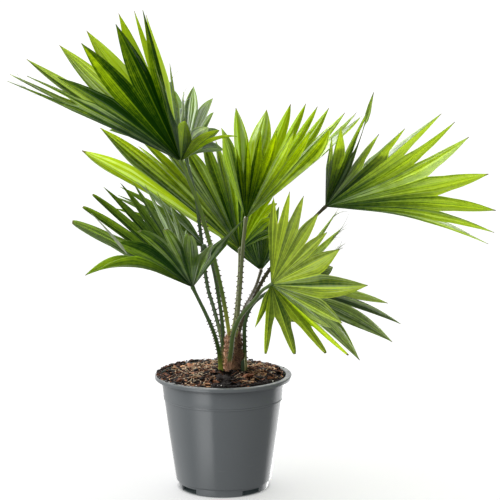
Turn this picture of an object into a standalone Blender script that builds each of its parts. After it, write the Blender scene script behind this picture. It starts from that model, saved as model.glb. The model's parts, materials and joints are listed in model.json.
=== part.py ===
"""A young fan palm in a grower's pot: plastic pot, soil, fibrous trunk, an old leaf stub and ten fronds.

Metres, +Z up. X runs to the right and Y to the back, and the origin is the middle of the pot's base.
Each frond is one solid: a spiny leaf stalk with a pleated fan blade, cut into free lobes.
"""
import math
import random

import bmesh
import bpy
from mathutils import Matrix, Vector, noise

MM = 0.001
GAP = 0.4 * MM  # room left between neighbouring pieces
SOCKET_GAP = 0.5 * MM  # and round the foot of a stalk

# pot, lathed
RIM_RADIUS = 85 * MM
POT_HEIGHT = 143 * MM
POT_WALL = 1.5 * MM
LIP_WIDTH = 7.4 * MM
LIP_DEPTH = 5 * MM
NECK_RADIUS = RIM_RADIUS - LIP_WIDTH
BODY_FOOT_RADIUS = 59.4 * MM
BAND_HEIGHT = 10 * MM  # narrower band at the foot
BAND_RADIUS = 56.5 * MM
BASE_RADIUS = 55 * MM
LINE_HEIGHT = 115 * MM  # a fine step round the body
LINE_STEP = 0.5 * MM
FLOOR_HEIGHT = 8 * MM  # underside of the raised floor
BOSS_RADIUS = 12 * MM
POT_SIDES = 48
NOTCHES = 4
NOTCH_WIDTH = 28 * MM
NOTCH_HEIGHT = 7 * MM
FRONT_FOOT_TURN = math.radians(-5.5)  # the middle of the front foot, from straight ahead
DRAIN_HOLES = 6
DRAIN_RADIUS = 5 * MM
DRAIN_CIRCLE = 38 * MM

# soil
SOIL_EDGE = 139 * MM
SOIL_HEAP = 9 * MM  # rise towards the trunk
SOIL_LUMPS = 2.5 * MM
SOIL_RINGS = 7
SOIL_SIDES = 34

# trunk, with the younger stalks standing in its top
TRUNK_X = 12.8 * MM
TRUNK_FOOT = 108 * MM
TRUNK_TOP = 190 * MM
TRUNK_RADIUS = 8.6 * MM
TRUNK_ROUGHNESS = 0.5 * MM
TRUNK_SIDES = 20
TRUNK_ROWS = 8

# stub of a cut leaf stalk, and the dry strip that hangs on it
STUB_FOOT = Vector((24.5, -11.0, 131)) * MM
STUB_TOP = Vector((24.0, -12.5, 163)) * MM
STUB_WIDTH = 6.5 * MM
STRIP_TOP = Vector((27.5, -13.5, 172)) * MM

# leaf blades
BLADE = 0.8 * MM  # thickness
BLADE_START = 2.5 * MM  # from the middle of the fan
BEND = 0.3  # share of a rib's length where it starts to droop
PLEAT = 0.5  # height of a pleat as a share of half its width
FUSED_ROWS = 2
FREE_ROWS = (0.38, 0.74, 1.0)
HASTULA_RADIUS = 3.4 * MM

# leaf stalks
STALK_SIDES = 6
STALK_DEPTH = 0.78  # thickness as a share of width
STALK_STEP = 22 * MM
SPINE = 2.2 * MM
SPINE_RADIUS = 0.8 * MM
SPINE_STEP = 9 * MM
SPINE_FROM = 0.16  # share of the stalk's length
SPINE_TO = 0.68

# Each frond. "stalk": where its stalk runs, foot to fan, in millimetres. "widths": at the foot, half way
# and at the fan. "turn": how far the stalk's flat side is turned, in degrees. "ribs": how many lobes.
# "split": rib numbers, and the share of the length where the lobes come free there. "guides": some of the
# ribs, as number, azimuth (0 to the right, 90 to the back), elevation, length and droop of the tip, in
# degrees and millimetres; the other ribs lie between.
FRONDS = {
    "frond_upper_left": {
        "colour": (0.13, 0.26, 0.04),
        "stalk": [(7.8, -1.8, 181), (7.6, -2, 190), (4, -12, 218), (-2, -25, 253), (-12, -35, 299),
                  (-19, -42, 326), (-27, -48, 356), (-36, -50, 381), (-49, -50, 413)],
        "widths": (4.6, 5.6, 4.2),
        "turn": 10,
        "ribs": 21,
        "split": [(0, 0.5), (4, 0.56), (10, 0.62), (16, 0.6), (20, 0.55)],
        "guides": [
            (0, -56, 26, 134, 20), (1, -70, 23, 150, 10), (2, -86, 22, 163, 0), (3, -97, 38, 179, 0),
            (4, -105, 50, 162, 0), (5, -120, 66, 197, 0), (6, -131, 57, 196, 0), (7, -142, 46, 199, 0),
            (8, -150, 37, 198, 15), (9, -167, 32, 214, 10), (10, 180, 26, 228, 5), (11, 172, 26, 231, 0),
            (12, 164, 30, 226, -5), (13, 155, 39, 213, 0), (14, 144, 46, 210, 0), (15, 131, 55, 210, 0),
            (16, 122, 57, 209, 0), (17, 113, 55, 207, 0), (18, 98, 39, 196, 0), (19, 91, 24, 175, 0),
            (20, 78, 11, 145, 0),
        ],
    },
    "frond_back_left": {
        "colour": (0.09, 0.19, 0.04),
        "stalk": [(2, 13.5, 131), (1, 15, 160), (-3, 24, 184), (-13, 34, 221), (-19, 38, 240),
                  (-23, 40, 263), (-29, 41, 315), (-35, 45, 359), (-47, 54, 407)],
        "widths": (6.0, 4.6, 4.0),
        "turn": -12,
        "ribs": 10,
        "split": [(0, 0.6), (9, 0.6)],
        "guides": [
            (0, 158, 23, 115, 15), (2, 113, 33, 155, 15), (4, 98, 34, 158, 15), (5, 87, 38, 154, 15),
            (6, 74, 35, 140, 15), (7, 75, 26, 139, 15), (8, 70, 18, 123, 15), (9, 63, 8, 102, 15),
        ],
    },
    "frond_centre_back": {
        "colour": (0.20, 0.34, 0.03),
        "stalk": [(9.8, 4.6, 181), (10.4, 5.4, 190), (15.5, 14, 213), (19.5, 35, 256), (20.5, 50, 291)],
        "widths": (4.6, 5.0, 4.2),
        "turn": 0,
        "ribs": 17,
        "split": [(0, 0.7), (8, 0.72), (12, 0.7), (16, 0.6)],
        "guides": [
            (0, 171, 33, 241, 10), (1, 166, 41, 242, 10), (2, 152, 42, 199, 10), (3, 146, 42, 216, 10),
            (4, 134, 42, 204, 10), (5, 122, 43, 193, 10), (6, 111, 45, 196, 10), (7, 104, 45, 190, 10),
            (8, 97, 46, 175, 10), (9, 88, 51, 176, 10), (10, 77, 55, 177, 10), (11, 64, 56, 160, 10),
            (12, 50, 56, 140, 10), (13, 42, 52, 121, 10), (14, 23, 52, 83, 10), (15, -25, 47, 69, 10),
            (16, -36, 30, 78, 10),
        ],
    },
    "frond_centre_front": {
        "colour": (0.20, 0.34, 0.03),
        "stalk": [(15.2, -4.9, 181), (15.4, -5, 191), (18, -10, 219), (21, -10, 256), (24, -7, 299),
                  (28, -5, 338)],
        "widths": (4.6, 5.0, 4.2),
        "turn": 8,
        "ribs": 17,
        "split": [(0, 0.62), (6, 0.7), (10, 0.74), (16, 0.68)],
        "guides": [
            (0, -96, 42, 135, -4), (2, -81, 45, 158, -4), (4, -61, 44, 160, -4), (6, -35, 43, 165, -4),
            (7, -4, 41, 183, -4), (8, 9, 42, 183, -4), (9, 16, 44, 176, -4), (10, 26, 48, 171, -4),
            (11, 34, 50, 167, -4), (12, 43, 52, 166, -4), (13, 55, 53, 162, -4), (14, 73, 54, 151, -4),
            (15, 99, 57, 149, -4), (16, 109, 46, 137, -4),
        ],
    },
    "frond_lower_left": {
        "colour": (0.09, 0.19, 0.05),
        "stalk": [(-3, -10.5, 131), (-3, -15, 153), (-6, -40, 185), (-14, -80, 221), (-34, -110, 271)],
        "widths": (7.2, 4.8, 4.0),
        "turn": 0,
        "ribs": 17,
        "split": [(0, 0.6), (3, 0.62), (8, 0.58), (16, 0.62)],
        "guides": [
            (0, -34, 53, 121, 10), (1, -74, 39, 121, 10), (2, -90, 41, 133, 10), (3, -105, 42, 139, 10),
            (4, -122, 43, 146, 20), (5, -140, 38, 136, 20), (6, -166, 27, 142, 45), (7, 180, 32, 165, 10),
            (8, 171, 38, 166, 10), (9, 164, 43, 169, 10), (10, 155, 46, 170, 10), (11, 146, 50, 164, 10),
            (13, 130, 53, 153, 10), (15, 110, 49, 128, 10), (16, 98, 44, 98, 10),
        ],
    },
    "frond_left_back": {
        "colour": (0.08, 0.17, 0.04),
        "stalk": [(-2.2, 1.5, 131), (-1.8, 1.5, 165), (-0.6, 2, 196), (-7, 1, 247), (-15, 0, 286),
                  (-23, 0, 303)],
        "widths": (6.0, 4.8, 4.0),
        "turn": 15,
        "ribs": 11,
        "split": [(0, 0.55), (11, 0.55)],
        "guides": [
            (0, -155, 8, 72, 10), (2, 180, 21, 110, 10), (4, 170, 31, 134, 10), (5, 162, 31, 133, 10),
            (6, 157, 34, 139, 10), (7, 150, 40, 130, 10), (8, 145, 40, 113, 10), (9, 138, 39, 97, 10),
            (11, 119, 38, 72, 10),
        ],
    },
    "frond_right_front": {
        "colour": (0.17, 0.31, 0.04),
        "stalk": [(7.2, -13.2, 131), (7.2, -13.4, 155), (10, -20, 177), (13, -30, 201), (22, -45, 224),
                  (38, -65, 247), (48, -78, 262), (58, -80, 269)],
        "widths": (7.6, 5.6, 4.0),
        "turn": 0,
        "ribs": 14,
        "split": [(0, 0.66), (3, 0.66), (6, 0.56), (9, 0.57), (11, 0.47), (13, 0.44)],
        "guides": [
            (0, 84, 73, 105, 0), (1, 53, 71, 114, 0), (2, 32, 66, 113, 0), (3, 15, 55, 102, 0),
            (4, 4, 43, 91, 0), (5, -4, 28, 92, 0), (6, -8, -3, 115, -8), (7, -31, -21, 103, 0),
            (8, -41, -24, 100, 0), (9, -12, -41, 124, 0), (10, -29, -46, 105, 0), (11, -62, -52, 93, 0),
            (12, -98, -55, 89, 0), (13, -111, -38, 68, 0),
        ],
    },
    "frond_low_right": {
        "colour": (0.10, 0.20, 0.06),
        "stalk": [(26.8, 1, 131), (26.8, 1, 157), (26.2, -5, 186), (27, -12, 210), (35, -20, 232),
                  (51, -28, 248), (63, -30, 254)],
        "widths": (6.0, 4.8, 4.0),
        "turn": 0,
        "ribs": 15,
        "split": [(0, 0.6), (9, 0.6), (12, 0.5), (14, 0.5)],
        "guides": [
            (0, -45, -53, 70, 0), (2, -8, -40, 96, 10), (3, 0, -29, 119, 30), (4, 8, -15, 152, 30),
            (5, 13, -7, 162, 30), (6, 23, -3, 155, 20), (8, 41, 12, 139, 10), (10, 41, 27, 136, -10),
            (11, 42, 36, 129, -10), (13, 68, 47, 125, 10), (14, 82, 48, 107, 10),
        ],
    },
    "frond_right_back": {
        "colour": (0.09, 0.19, 0.04),
        "stalk": [(15.7, 4.8, 181), (15.9, 5.2, 190), (25, 30, 217), (33, 50, 228), (41, 70, 242),
                  (47, 85, 258)],
        "widths": (4.6, 4.8, 4.0),
        "turn": 0,
        "ribs": 12,
        "split": [(0, 0.68), (11, 0.68)],
        "guides": [
            (0, 146, 32, 84, 0), (3, 113, 45, 123, 0), (6, 94, 49, 138, 0), (8, 79, 42, 123, 0),
            (9, 73, 41, 110, 0), (11, 48, 38, 85, 0),
        ],
    },
    "frond_far_right": {
        "colour": (0.14, 0.27, 0.04),
        "stalk": [(18.4, 0, 181), (18.6, 0, 190), (23, 6, 206), (33, 14, 225), (53, 30, 262),
                  (77, 30, 291), (101, 25, 323), (126, 20, 349)],
        "widths": (4.6, 4.8, 4.0),
        "turn": 10,
        "ribs": 16,
        "split": [(0, 0.66), (3, 0.55), (6, 0.62), (9, 0.66), (15, 0.62)],
        "guides": [
            (0, -90, 32, 189, 0), (1, -86, 36, 192, 0), (2, -73, 42, 196, 0), (3, -73, 32, 192, -50),
            (4, -70, 33, 190, 0), (5, -54, 36, 182, 0), (6, -24, 39, 190, 0), (7, -11, 29, 180, -20),
            (8, -3, 21, 187, -20), (9, 3, 11, 206, 0), (10, 8, 3, 217, 20), (11, 13, -3, 222, 28),
            (12, 18, -7, 224, 30), (13, 28, -5, 217, 30), (15, 46, 4, 209, 30),
        ],
    },
}


def clear_scene():
    for item in list(bpy.data.objects):
        bpy.data.objects.remove(item, do_unlink=True)


def new_collection(name):
    collection = bpy.data.collections.new(name)
    bpy.context.scene.collection.children.link(collection)
    return collection


def material(name, colour, roughness):
    result = bpy.data.materials.new(name)
    result.use_nodes = True
    shader = result.node_tree.nodes["Principled BSDF"]
    shader.inputs["Base Color"].default_value = (*colour, 1.0)
    shader.inputs["Roughness"].default_value = roughness
    shader.inputs["Metallic"].default_value = 0.0
    return result


def mesh_object(name, points, faces, collection, look=None):
    """An object from points and faces, with every face turned outwards."""
    mesh = bpy.data.meshes.new(name)
    mesh.from_pydata([tuple(p) for p in points], [], faces)
    work = bmesh.new()
    work.from_mesh(mesh)
    bmesh.ops.recalc_face_normals(work, faces=work.faces)
    work.to_mesh(mesh)
    work.free()
    item = bpy.data.objects.new(name, mesh)
    if look:
        mesh.materials.append(look)
    collection.objects.link(item)
    return item


def apply_one(item, modifier):
    with bpy.context.temp_override(object=item, active_object=item):
        bpy.ops.object.modifier_apply(modifier=modifier.name)


def boolean(item, operation, collection, solver="EXACT"):
    """Joins or cuts item with all the objects of a collection, then removes them."""
    modifier = item.modifiers.new(operation.title(), "BOOLEAN")
    modifier.operation = operation
    modifier.operand_type = "COLLECTION"
    modifier.collection = collection
    modifier.solver = solver
    apply_one(item, modifier)
    for tool in list(collection.objects):
        bpy.data.objects.remove(tool, do_unlink=True)


def set_origin(item, point):
    item.data.transform(Matrix.Translation(-point))
    item.location = point


def between(keys, values, x):
    """A smooth curve through values at keys, for numbers or vectors."""
    last = len(keys) - 2
    i = max(0, min(last, sum(1 for key in keys if key <= x) - 1))
    width = keys[i + 1] - keys[i]
    t = (x - keys[i]) / width
    rise = (values[i + 1] - values[i]) / width
    before = (values[i + 1] - values[i - 1]) / (keys[i + 1] - keys[i - 1]) if i > 0 else rise
    after = (values[i + 2] - values[i]) / (keys[i + 2] - keys[i]) if i < last else rise
    return (
        values[i] * (2 * t**3 - 3 * t**2 + 1)
        + before * (width * (t**3 - 2 * t**2 + t))
        + values[i + 1] * (3 * t**2 - 2 * t**3)
        + after * (width * (t**3 - t**2))
    )


def direction(azimuth, elevation):
    a = math.radians(azimuth)
    e = math.radians(elevation)
    return Vector((math.cos(e) * math.cos(a), math.cos(e) * math.sin(a), math.sin(e)))


class Fan:
    """The smooth sheet a frond's blade is pleated from. u counts the ribs across it, r is the way out."""

    def __init__(self, frond):
        guides = frond["guides"]
        self.ribs = frond["ribs"]
        self.centre = Vector(frond["stalk"][-1]) * MM
        self.keys = [g[0] for g in guides]
        self.ways = [direction(g[1], g[2]) for g in guides]
        self.lengths = [g[3] * MM for g in guides]
        self.droops = [g[4] * MM for g in guides]
        self.split_keys = [key for key, _ in frond["split"]]
        self.splits = [share for _, share in frond["split"]]

    def way(self, u):
        return between(self.keys, self.ways, u).normalized()

    def length(self, u):
        return between(self.keys, self.lengths, u)

    def free_from(self, u):
        """How far out the lobes come free."""
        return self.length(u) * between(self.split_keys, self.splits, u)

    def point(self, u, r):
        bend = max(0.0, r / self.length(u) - BEND) / (1 - BEND)
        droop = between(self.keys, self.droops, u) * bend * bend
        return self.centre + self.way(u) * r - Vector((0, 0, droop))

    def normal(self, u, r):
        across = self.point(u + 0.1, r) - self.point(u - 0.1, r)
        out = self.point(u, r + MM) - self.point(u, r - MM)
        return across.cross(out).normalized()

    def half_width(self, u, r):
        """Half the width of one pleat."""
        return r * (self.way(u + 0.1) - self.way(u - 0.1)).length * 2.5


def blade(name, frond, collection):
    """The pleated sheet with its free lobes: valleys on the ribs, folds between them."""
    fan = Fan(frond)
    points = []
    faces = []
    walls = []

    def corner(u, r, lift, share):
        """Upper and lower point of the sheet raised by lift pleats, on a lobe of this share of its width."""
        normal = fan.normal(u, r)
        middle = fan.point(u, r) + normal * (lift * PLEAT * fan.half_width(u, r) * share)
        points.append(middle + normal * (BLADE / 2))
        points.append(middle - normal * (BLADE / 2))
        return len(points) - 2

    def skin(a, b, c):
        faces.append((a, b, c))
        faces.append((c + 1, b + 1, a + 1))

    def wall(a, b):
        faces.append((a, a + 1, b + 1))
        faces.append((a, b + 1, b))

    folds = []
    for number in range(fan.ribs + 1):
        u = number - 0.5
        end = fan.free_from(u)
        radii = [BLADE_START + (end - BLADE_START) * k / FUSED_ROWS for k in range(FUSED_ROWS + 1)]
        folds.append([corner(u, r, 0.5, 1.0) for r in radii])
    for number in range(fan.ribs):
        left = folds[number]
        right = folds[number + 1]
        length = fan.length(number)
        end = fan.free_from(number)
        radii = [BLADE_START + (end - BLADE_START) * k / FUSED_ROWS for k in range(FUSED_ROWS + 1)]
        rib = [corner(number, r, -0.5, 1.0) for r in radii]
        for k in range(FUSED_ROWS):
            skin(left[k], rib[k], rib[k + 1])
            skin(left[k], rib[k + 1], left[k + 1])
            skin(rib[k], right[k], right[k + 1])
            skin(rib[k], right[k + 1], rib[k + 1])
        wall(left[0], rib[0])
        wall(rib[0], right[0])
        row = (left[-1], rib[-1], right[-1])
        for t in FREE_ROWS:
            share = (1 - t**1.3) * (1 + 0.2 * t)
            if t == 1.0:
                tip = corner(number, length, 0.0, 0.0)
                skin(row[0], row[1], tip)
                skin(row[1], row[2], tip)
                wall(row[0], tip)
                wall(tip, row[2])
                break
            new = []
            for side in (-1, 0, 1):
                u = number + side / 2
                start = fan.free_from(u)
                r = start + (length - start) * t
                place = number + side / 2 * share * start / r
                new.append(corner(place, r, 0.5 if side else -0.5, share * start / r))
            skin(row[0], row[1], new[1])
            skin(row[0], new[1], new[0])
            skin(row[1], row[2], new[2])
            skin(row[1], new[2], new[1])
            wall(row[0], new[0])
            wall(new[2], row[2])
            row = new
    for k in range(FUSED_ROWS):
        wall(folds[0][k], folds[0][k + 1])
        wall(folds[-1][k + 1], folds[-1][k])
    return mesh_object(name, points, faces, collection)


def route(frond):
    """The stalk's smooth run: points spaced evenly from foot to fan, and the length of it."""
    stops = [Vector(p) * MM for p in frond["stalk"]]
    keys = [0.0]
    for a, b in zip(stops, stops[1:]):
        keys.append(keys[-1] + (b - a).length)
    return keys, stops


def stalk_frame(frond, keys, stops, s):
    """Place, way on, and the two cross directions of the stalk at distance s."""
    place = between(keys, stops, s)
    on = (between(keys, stops, s + MM) - between(keys, stops, s - MM)).normalized()
    side = on.cross(Vector((0, 1, 0))).normalized()
    side = Matrix.Rotation(math.radians(frond["turn"]), 3, on) @ side
    return place, on, side, on.cross(side).normalized()


def stalk_width(frond, share):
    foot, middle, top = (w * MM for w in frond["widths"])
    if share < 0.5:
        t = share / 0.5
        return foot + (middle - foot) * t * (2 - t)
    t = (share - 0.5) / 0.5
    return middle + (top - middle) * t


def tube(name, rings, collection, look=None):
    """A closed loft through rings of equal point counts."""
    sides = len(rings[0])
    points = [p for ring in rings for p in ring]
    faces = [tuple(range(sides - 1, -1, -1))]
    for row in range(len(rings) - 1):
        for k in range(sides):
            a = row * sides + k
            b = row * sides + (k + 1) % sides
            faces.append((a, b, b + sides, a + sides))
    last = (len(rings) - 1) * sides
    faces.append(tuple(range(last, last + sides)))
    return mesh_object(name, points, faces, collection, look)


def stalk(name, frond, collection, extra=0.0, rows=None):
    """The stalk as a loft. The hole it stands in is wider by extra, and has only the lowest rows."""
    keys, stops = route(frond)
    total = keys[-1]
    count = math.ceil(total / STALK_STEP)
    rings = []
    for row in range(count + 1 if rows is None else rows + 1):
        s = total * row / count
        place, on, side, up = stalk_frame(frond, keys, stops, s)
        width = stalk_width(frond, s / total) / 2
        if row == 0:
            place = place - on * extra
        ring = []
        for k in range(STALK_SIDES):
            angle = 2 * math.pi * k / STALK_SIDES
            across = math.cos(angle) * (width + extra)
            over = math.sin(angle) * (width * STALK_DEPTH + extra)
            ring.append(place + side * across + up * over)
        rings.append(ring)
    return tube(name, rings, collection)


def spines(name, frond, collection, draw):
    """Short thorns along both edges of the stalk, all in one object."""
    keys, stops = route(frond)
    total = keys[-1]
    work = bmesh.new()
    for hand in (-1, 1):
        s = total * SPINE_FROM + draw.uniform(0, SPINE_STEP)
        while s < total * SPINE_TO:
            place, on, side, up = stalk_frame(frond, keys, stops, s)
            edge = stalk_width(frond, s / total) / 2
            out = (side * hand - on * 0.25).normalized()
            middle = place + side * hand * (edge - 0.5 * MM) + out * (SPINE / 2 - 0.1 * MM)
            turn = out.to_track_quat("Z", "Y").to_matrix().to_4x4()
            bmesh.ops.create_cone(
                work,
                cap_ends=True,
                segments=3,
                radius1=SPINE_RADIUS,
                radius2=0.0,
                depth=SPINE + 0.8 * MM,
                matrix=Matrix.Translation(middle) @ turn,
            )
            s += SPINE_STEP * draw.uniform(0.85, 1.15)
    mesh = bpy.data.meshes.new(name)
    work.to_mesh(mesh)
    work.free()
    item = bpy.data.objects.new(name, mesh)
    collection.objects.link(item)
    return item


def hastula(name, fan, collection):
    """The knot where the ribs meet the stalk."""
    work = bmesh.new()
    bmesh.ops.create_icosphere(work, subdivisions=1, radius=HASTULA_RADIUS)
    bmesh.ops.translate(work, verts=work.verts, vec=fan.centre)
    mesh = bpy.data.meshes.new(name)
    work.to_mesh(mesh)
    work.free()
    item = bpy.data.objects.new(name, mesh)
    collection.objects.link(item)
    return item


def frond_object(name, frond, palm, tools, draw):
    item = blade(name, frond, palm)
    item.data.materials.append(material(name + "_leaf", frond["colour"], 0.45))
    stalk(name + "_stalk", frond, tools)
    spines(name + "_spines", frond, tools, draw)
    hastula(name + "_hastula", Fan(frond), tools)
    boolean(item, "UNION", tools, "MANIFOLD")
    set_origin(item, Vector(frond["stalk"][0]) * MM)
    return item


def lathe(name, profile, sides, collection, look):
    """Turns a closed profile of (radius, height) round the Z axis."""
    work = bmesh.new()
    ring = [work.verts.new((radius, 0.0, height)) for radius, height in profile]
    for a, b in zip(ring, ring[1:] + ring[:1]):
        work.edges.new((a, b))
    mesh = bpy.data.meshes.new(name)
    work.to_mesh(mesh)
    work.free()
    item = bpy.data.objects.new(name, mesh)
    collection.objects.link(item)
    screw = item.modifiers.new("Screw", "SCREW")
    screw.steps = sides
    screw.render_steps = sides
    screw.use_merge_vertices = True
    screw.merge_threshold = 0.00005
    apply_one(item, screw)
    mesh.materials.append(look)
    return item


def pot(palm, tools):
    """The pot, with a raised floor, a foot band cut by four notches, and drain holes."""
    step_radius = BODY_FOOT_RADIUS + (NECK_RADIUS - BODY_FOOT_RADIUS) * (
        (LINE_HEIGHT - BAND_HEIGHT) / (POT_HEIGHT - LIP_DEPTH - BAND_HEIGHT)
    )
    outside = [
        (NECK_RADIUS - 0.2 * MM, POT_HEIGHT - LIP_DEPTH + 0.6 * MM),
        (step_radius, LINE_HEIGHT + 0.4 * MM),
        (step_radius - LINE_STEP, LINE_HEIGHT - 0.4 * MM),
        (BODY_FOOT_RADIUS, BAND_HEIGHT + 0.6 * MM),
        (BAND_RADIUS + 0.4 * MM, BAND_HEIGHT),
        (BAND_RADIUS, BAND_HEIGHT - 1.2 * MM),
        (BASE_RADIUS + 0.5 * MM, 0.0),
    ]
    underside = [
        (BASE_RADIUS - 1.4 * MM, 0.0),
        (BASE_RADIUS - 1.4 * MM, FLOOR_HEIGHT),
        (BOSS_RADIUS, FLOOR_HEIGHT),
        (BOSS_RADIUS, 0.0),
        (0.0, 0.0),
    ]
    inside = [
        (0.0, FLOOR_HEIGHT + POT_WALL),
        (BODY_FOOT_RADIUS - 3.5 * MM, FLOOR_HEIGHT + POT_WALL),
        (BODY_FOOT_RADIUS - POT_WALL, FLOOR_HEIGHT + 5 * MM),
        (NECK_RADIUS - POT_WALL - 0.3 * MM, POT_HEIGHT - LIP_DEPTH),
    ]
    lip = [
        (NECK_RADIUS - 0.2 * MM, POT_HEIGHT - 0.4 * MM),
        (NECK_RADIUS + 1.2 * MM, POT_HEIGHT),
        (RIM_RADIUS - 1.2 * MM, POT_HEIGHT),
        (RIM_RADIUS - 0.2 * MM, POT_HEIGHT - 0.7 * MM),
        (RIM_RADIUS, POT_HEIGHT - 2 * MM),
        (RIM_RADIUS - 0.3 * MM, POT_HEIGHT - LIP_DEPTH),
        (RIM_RADIUS - 1.6 * MM, POT_HEIGHT - LIP_DEPTH),
        (RIM_RADIUS - 2.0 * MM, POT_HEIGHT - 2.2 * MM),
        (NECK_RADIUS + 1.4 * MM, POT_HEIGHT - 2.2 * MM),
    ]
    profile = outside + underside + inside + lip
    look = material("grey_plastic", (0.13, 0.15, 0.16), 0.4)
    item = lathe("pot", profile, POT_SIDES, palm, look)
    for number in range(NOTCHES):
        turn = FRONT_FOOT_TURN + math.pi / NOTCHES + number * 2 * math.pi / NOTCHES
        bpy.ops.mesh.primitive_cube_add(size=1)
        cutter = bpy.context.object
        cutter.name = f"notch_{number}"
        cutter.scale = (NOTCH_WIDTH, 16 * MM, NOTCH_HEIGHT * 2)
        cutter.location = (math.sin(turn) * BASE_RADIUS, -math.cos(turn) * BASE_RADIUS, 0)
        cutter.rotation_euler = (0, 0, turn)
        move_to(cutter, tools)
    for number in range(DRAIN_HOLES):
        turn = 2 * math.pi * number / DRAIN_HOLES
        bpy.ops.mesh.primitive_cylinder_add(vertices=10, radius=DRAIN_RADIUS, depth=POT_WALL * 3)
        cutter = bpy.context.object
        cutter.name = f"drain_{number}"
        away = Vector((math.cos(turn), math.sin(turn), 0)) * DRAIN_CIRCLE
        cutter.location = away + Vector((0, 0, FLOOR_HEIGHT + POT_WALL / 2))
        move_to(cutter, tools)
    boolean(item, "DIFFERENCE", tools)
    return item


def move_to(item, collection):
    for home in list(item.users_collection):
        home.objects.unlink(item)
    collection.objects.link(item)
    item.hide_render = True
    item.display_type = "WIRE"


def soil_height(x, y):
    """Top of the soil: heaped a little round the trunk, and lumpy."""
    away = math.hypot(x - TRUNK_X, y) / NECK_RADIUS
    heap = SOIL_HEAP * (1 - min(1.0, away) ** 2)
    lumps = noise.noise(Vector((x * 60, y * 60, 0))) + 0.5 * noise.noise(Vector((x * 150, y * 150, 3)))
    return SOIL_EDGE + heap + SOIL_LUMPS * lumps


def soil(palm, tools):
    """The root ball, filling the pot, with plain holes for what stands in it."""
    wall = POT_WALL + GAP
    floor = FLOOR_HEIGHT + POT_WALL + GAP
    low_radius = BODY_FOOT_RADIUS - 4.2 * MM
    knee_radius = BODY_FOOT_RADIUS - wall - 0.3 * MM
    slope = (NECK_RADIUS - BODY_FOOT_RADIUS) / (POT_HEIGHT - LIP_DEPTH - FLOOR_HEIGHT - 5 * MM)
    knee = FLOOR_HEIGHT + 5 * MM
    top_radius = knee_radius + slope * (SOIL_EDGE - 3 * MM - knee) - 0.4 * MM
    rings = []
    for radius, height in ((low_radius, floor), (knee_radius - 0.2 * MM, knee)):
        rings.append([(radius, height)] * SOIL_SIDES)
    points = []
    for ring in rings:
        for k, (radius, height) in enumerate(ring):
            angle = 2 * math.pi * k / SOIL_SIDES
            points.append((radius * math.cos(angle), radius * math.sin(angle), height))
    for row in range(SOIL_RINGS):
        radius = top_radius * (1 - row / SOIL_RINGS) ** 0.9
        for k in range(SOIL_SIDES):
            angle = 2 * math.pi * (k + 0.5 * (row % 2)) / SOIL_SIDES
            x = radius * math.cos(angle)
            y = radius * math.sin(angle)
            points.append((x, y, soil_height(x, y)))
    total = len(rings) + SOIL_RINGS
    faces = [tuple(range(SOIL_SIDES))]
    for row in range(total - 1):
        for k in range(SOIL_SIDES):
            a = row * SOIL_SIDES + k
            b = row * SOIL_SIDES + (k + 1) % SOIL_SIDES
            faces.append((a, b, b + SOIL_SIDES))
            faces.append((a, b + SOIL_SIDES, a + SOIL_SIDES))
    last = (total - 1) * SOIL_SIDES
    points.append((0, 0, soil_height(0, 0)))
    for k in range(SOIL_SIDES):
        faces.append((last + k, last + (k + 1) % SOIL_SIDES, len(points) - 1))
    item = mesh_object("soil", points, faces, palm, material("dark_soil", (0.035, 0.022, 0.014), 0.95))
    bpy.ops.mesh.primitive_cylinder_add(
        vertices=TRUNK_SIDES,
        radius=TRUNK_RADIUS + TRUNK_ROUGHNESS + GAP,
        depth=60 * MM,
        location=(TRUNK_X, 0, TRUNK_FOOT - GAP + 30 * MM),
    )
    move_to(bpy.context.object, tools)
    for name, frond in FRONDS.items():
        if frond["stalk"][0][2] * MM < SOIL_EDGE:
            stalk(name + "_hole", frond, tools, SOCKET_GAP, 2)
    tube("stub_hole", stub_rings(SOCKET_GAP), tools)
    boolean(item, "DIFFERENCE", tools)
    return item


def trunk(palm, tools):
    """A short trunk in a rough sheath, with a socket for each stalk that stands in its top."""
    rings = []
    for row in range(TRUNK_ROWS + 1):
        height = TRUNK_FOOT + (TRUNK_TOP - TRUNK_FOOT) * row / TRUNK_ROWS
        ring = []
        for k in range(TRUNK_SIDES):
            angle = 2 * math.pi * (k + 0.5 * (row % 2)) / TRUNK_SIDES
            way = Vector((math.cos(angle), math.sin(angle), 0))
            rough = TRUNK_ROUGHNESS * noise.noise(Vector((way.x * 3, way.y * 3, height * 40)))
            ring.append(way * (TRUNK_RADIUS + rough) + Vector((TRUNK_X, 0, height)))
        rings.append(ring)
    item = tube("trunk", rings, palm, material("trunk_fibre", (0.16, 0.08, 0.04), 0.9))
    for name, frond in FRONDS.items():
        if frond["stalk"][0][2] * MM > SOIL_EDGE:
            stalk(name + "_socket", frond, tools, SOCKET_GAP, 2)
    boolean(item, "DIFFERENCE", tools)
    set_origin(item, Vector((TRUNK_X, 0, TRUNK_FOOT)))
    return item


def stub_rings(extra):
    """Rings of the old stub: a half-round stalk, cut off at a slant."""
    rings = []
    rows = 4
    for row in range(rows + 1):
        t = row / rows
        place = STUB_FOOT.lerp(STUB_TOP, t)
        width = STUB_WIDTH / 2 * (1 - 0.25 * t) + extra
        ring = []
        for k in range(STALK_SIDES):
            angle = 2 * math.pi * k / STALK_SIDES
            slant = Vector((0, 0, 3 * MM * t * math.cos(angle)))
            way = Vector((math.cos(angle) * width, math.sin(angle) * width * STALK_DEPTH, 0))
            ring.append(place + way + slant - Vector((0, 0, extra if row == 0 else 0)))
        rings.append(ring)
    return rings


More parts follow.
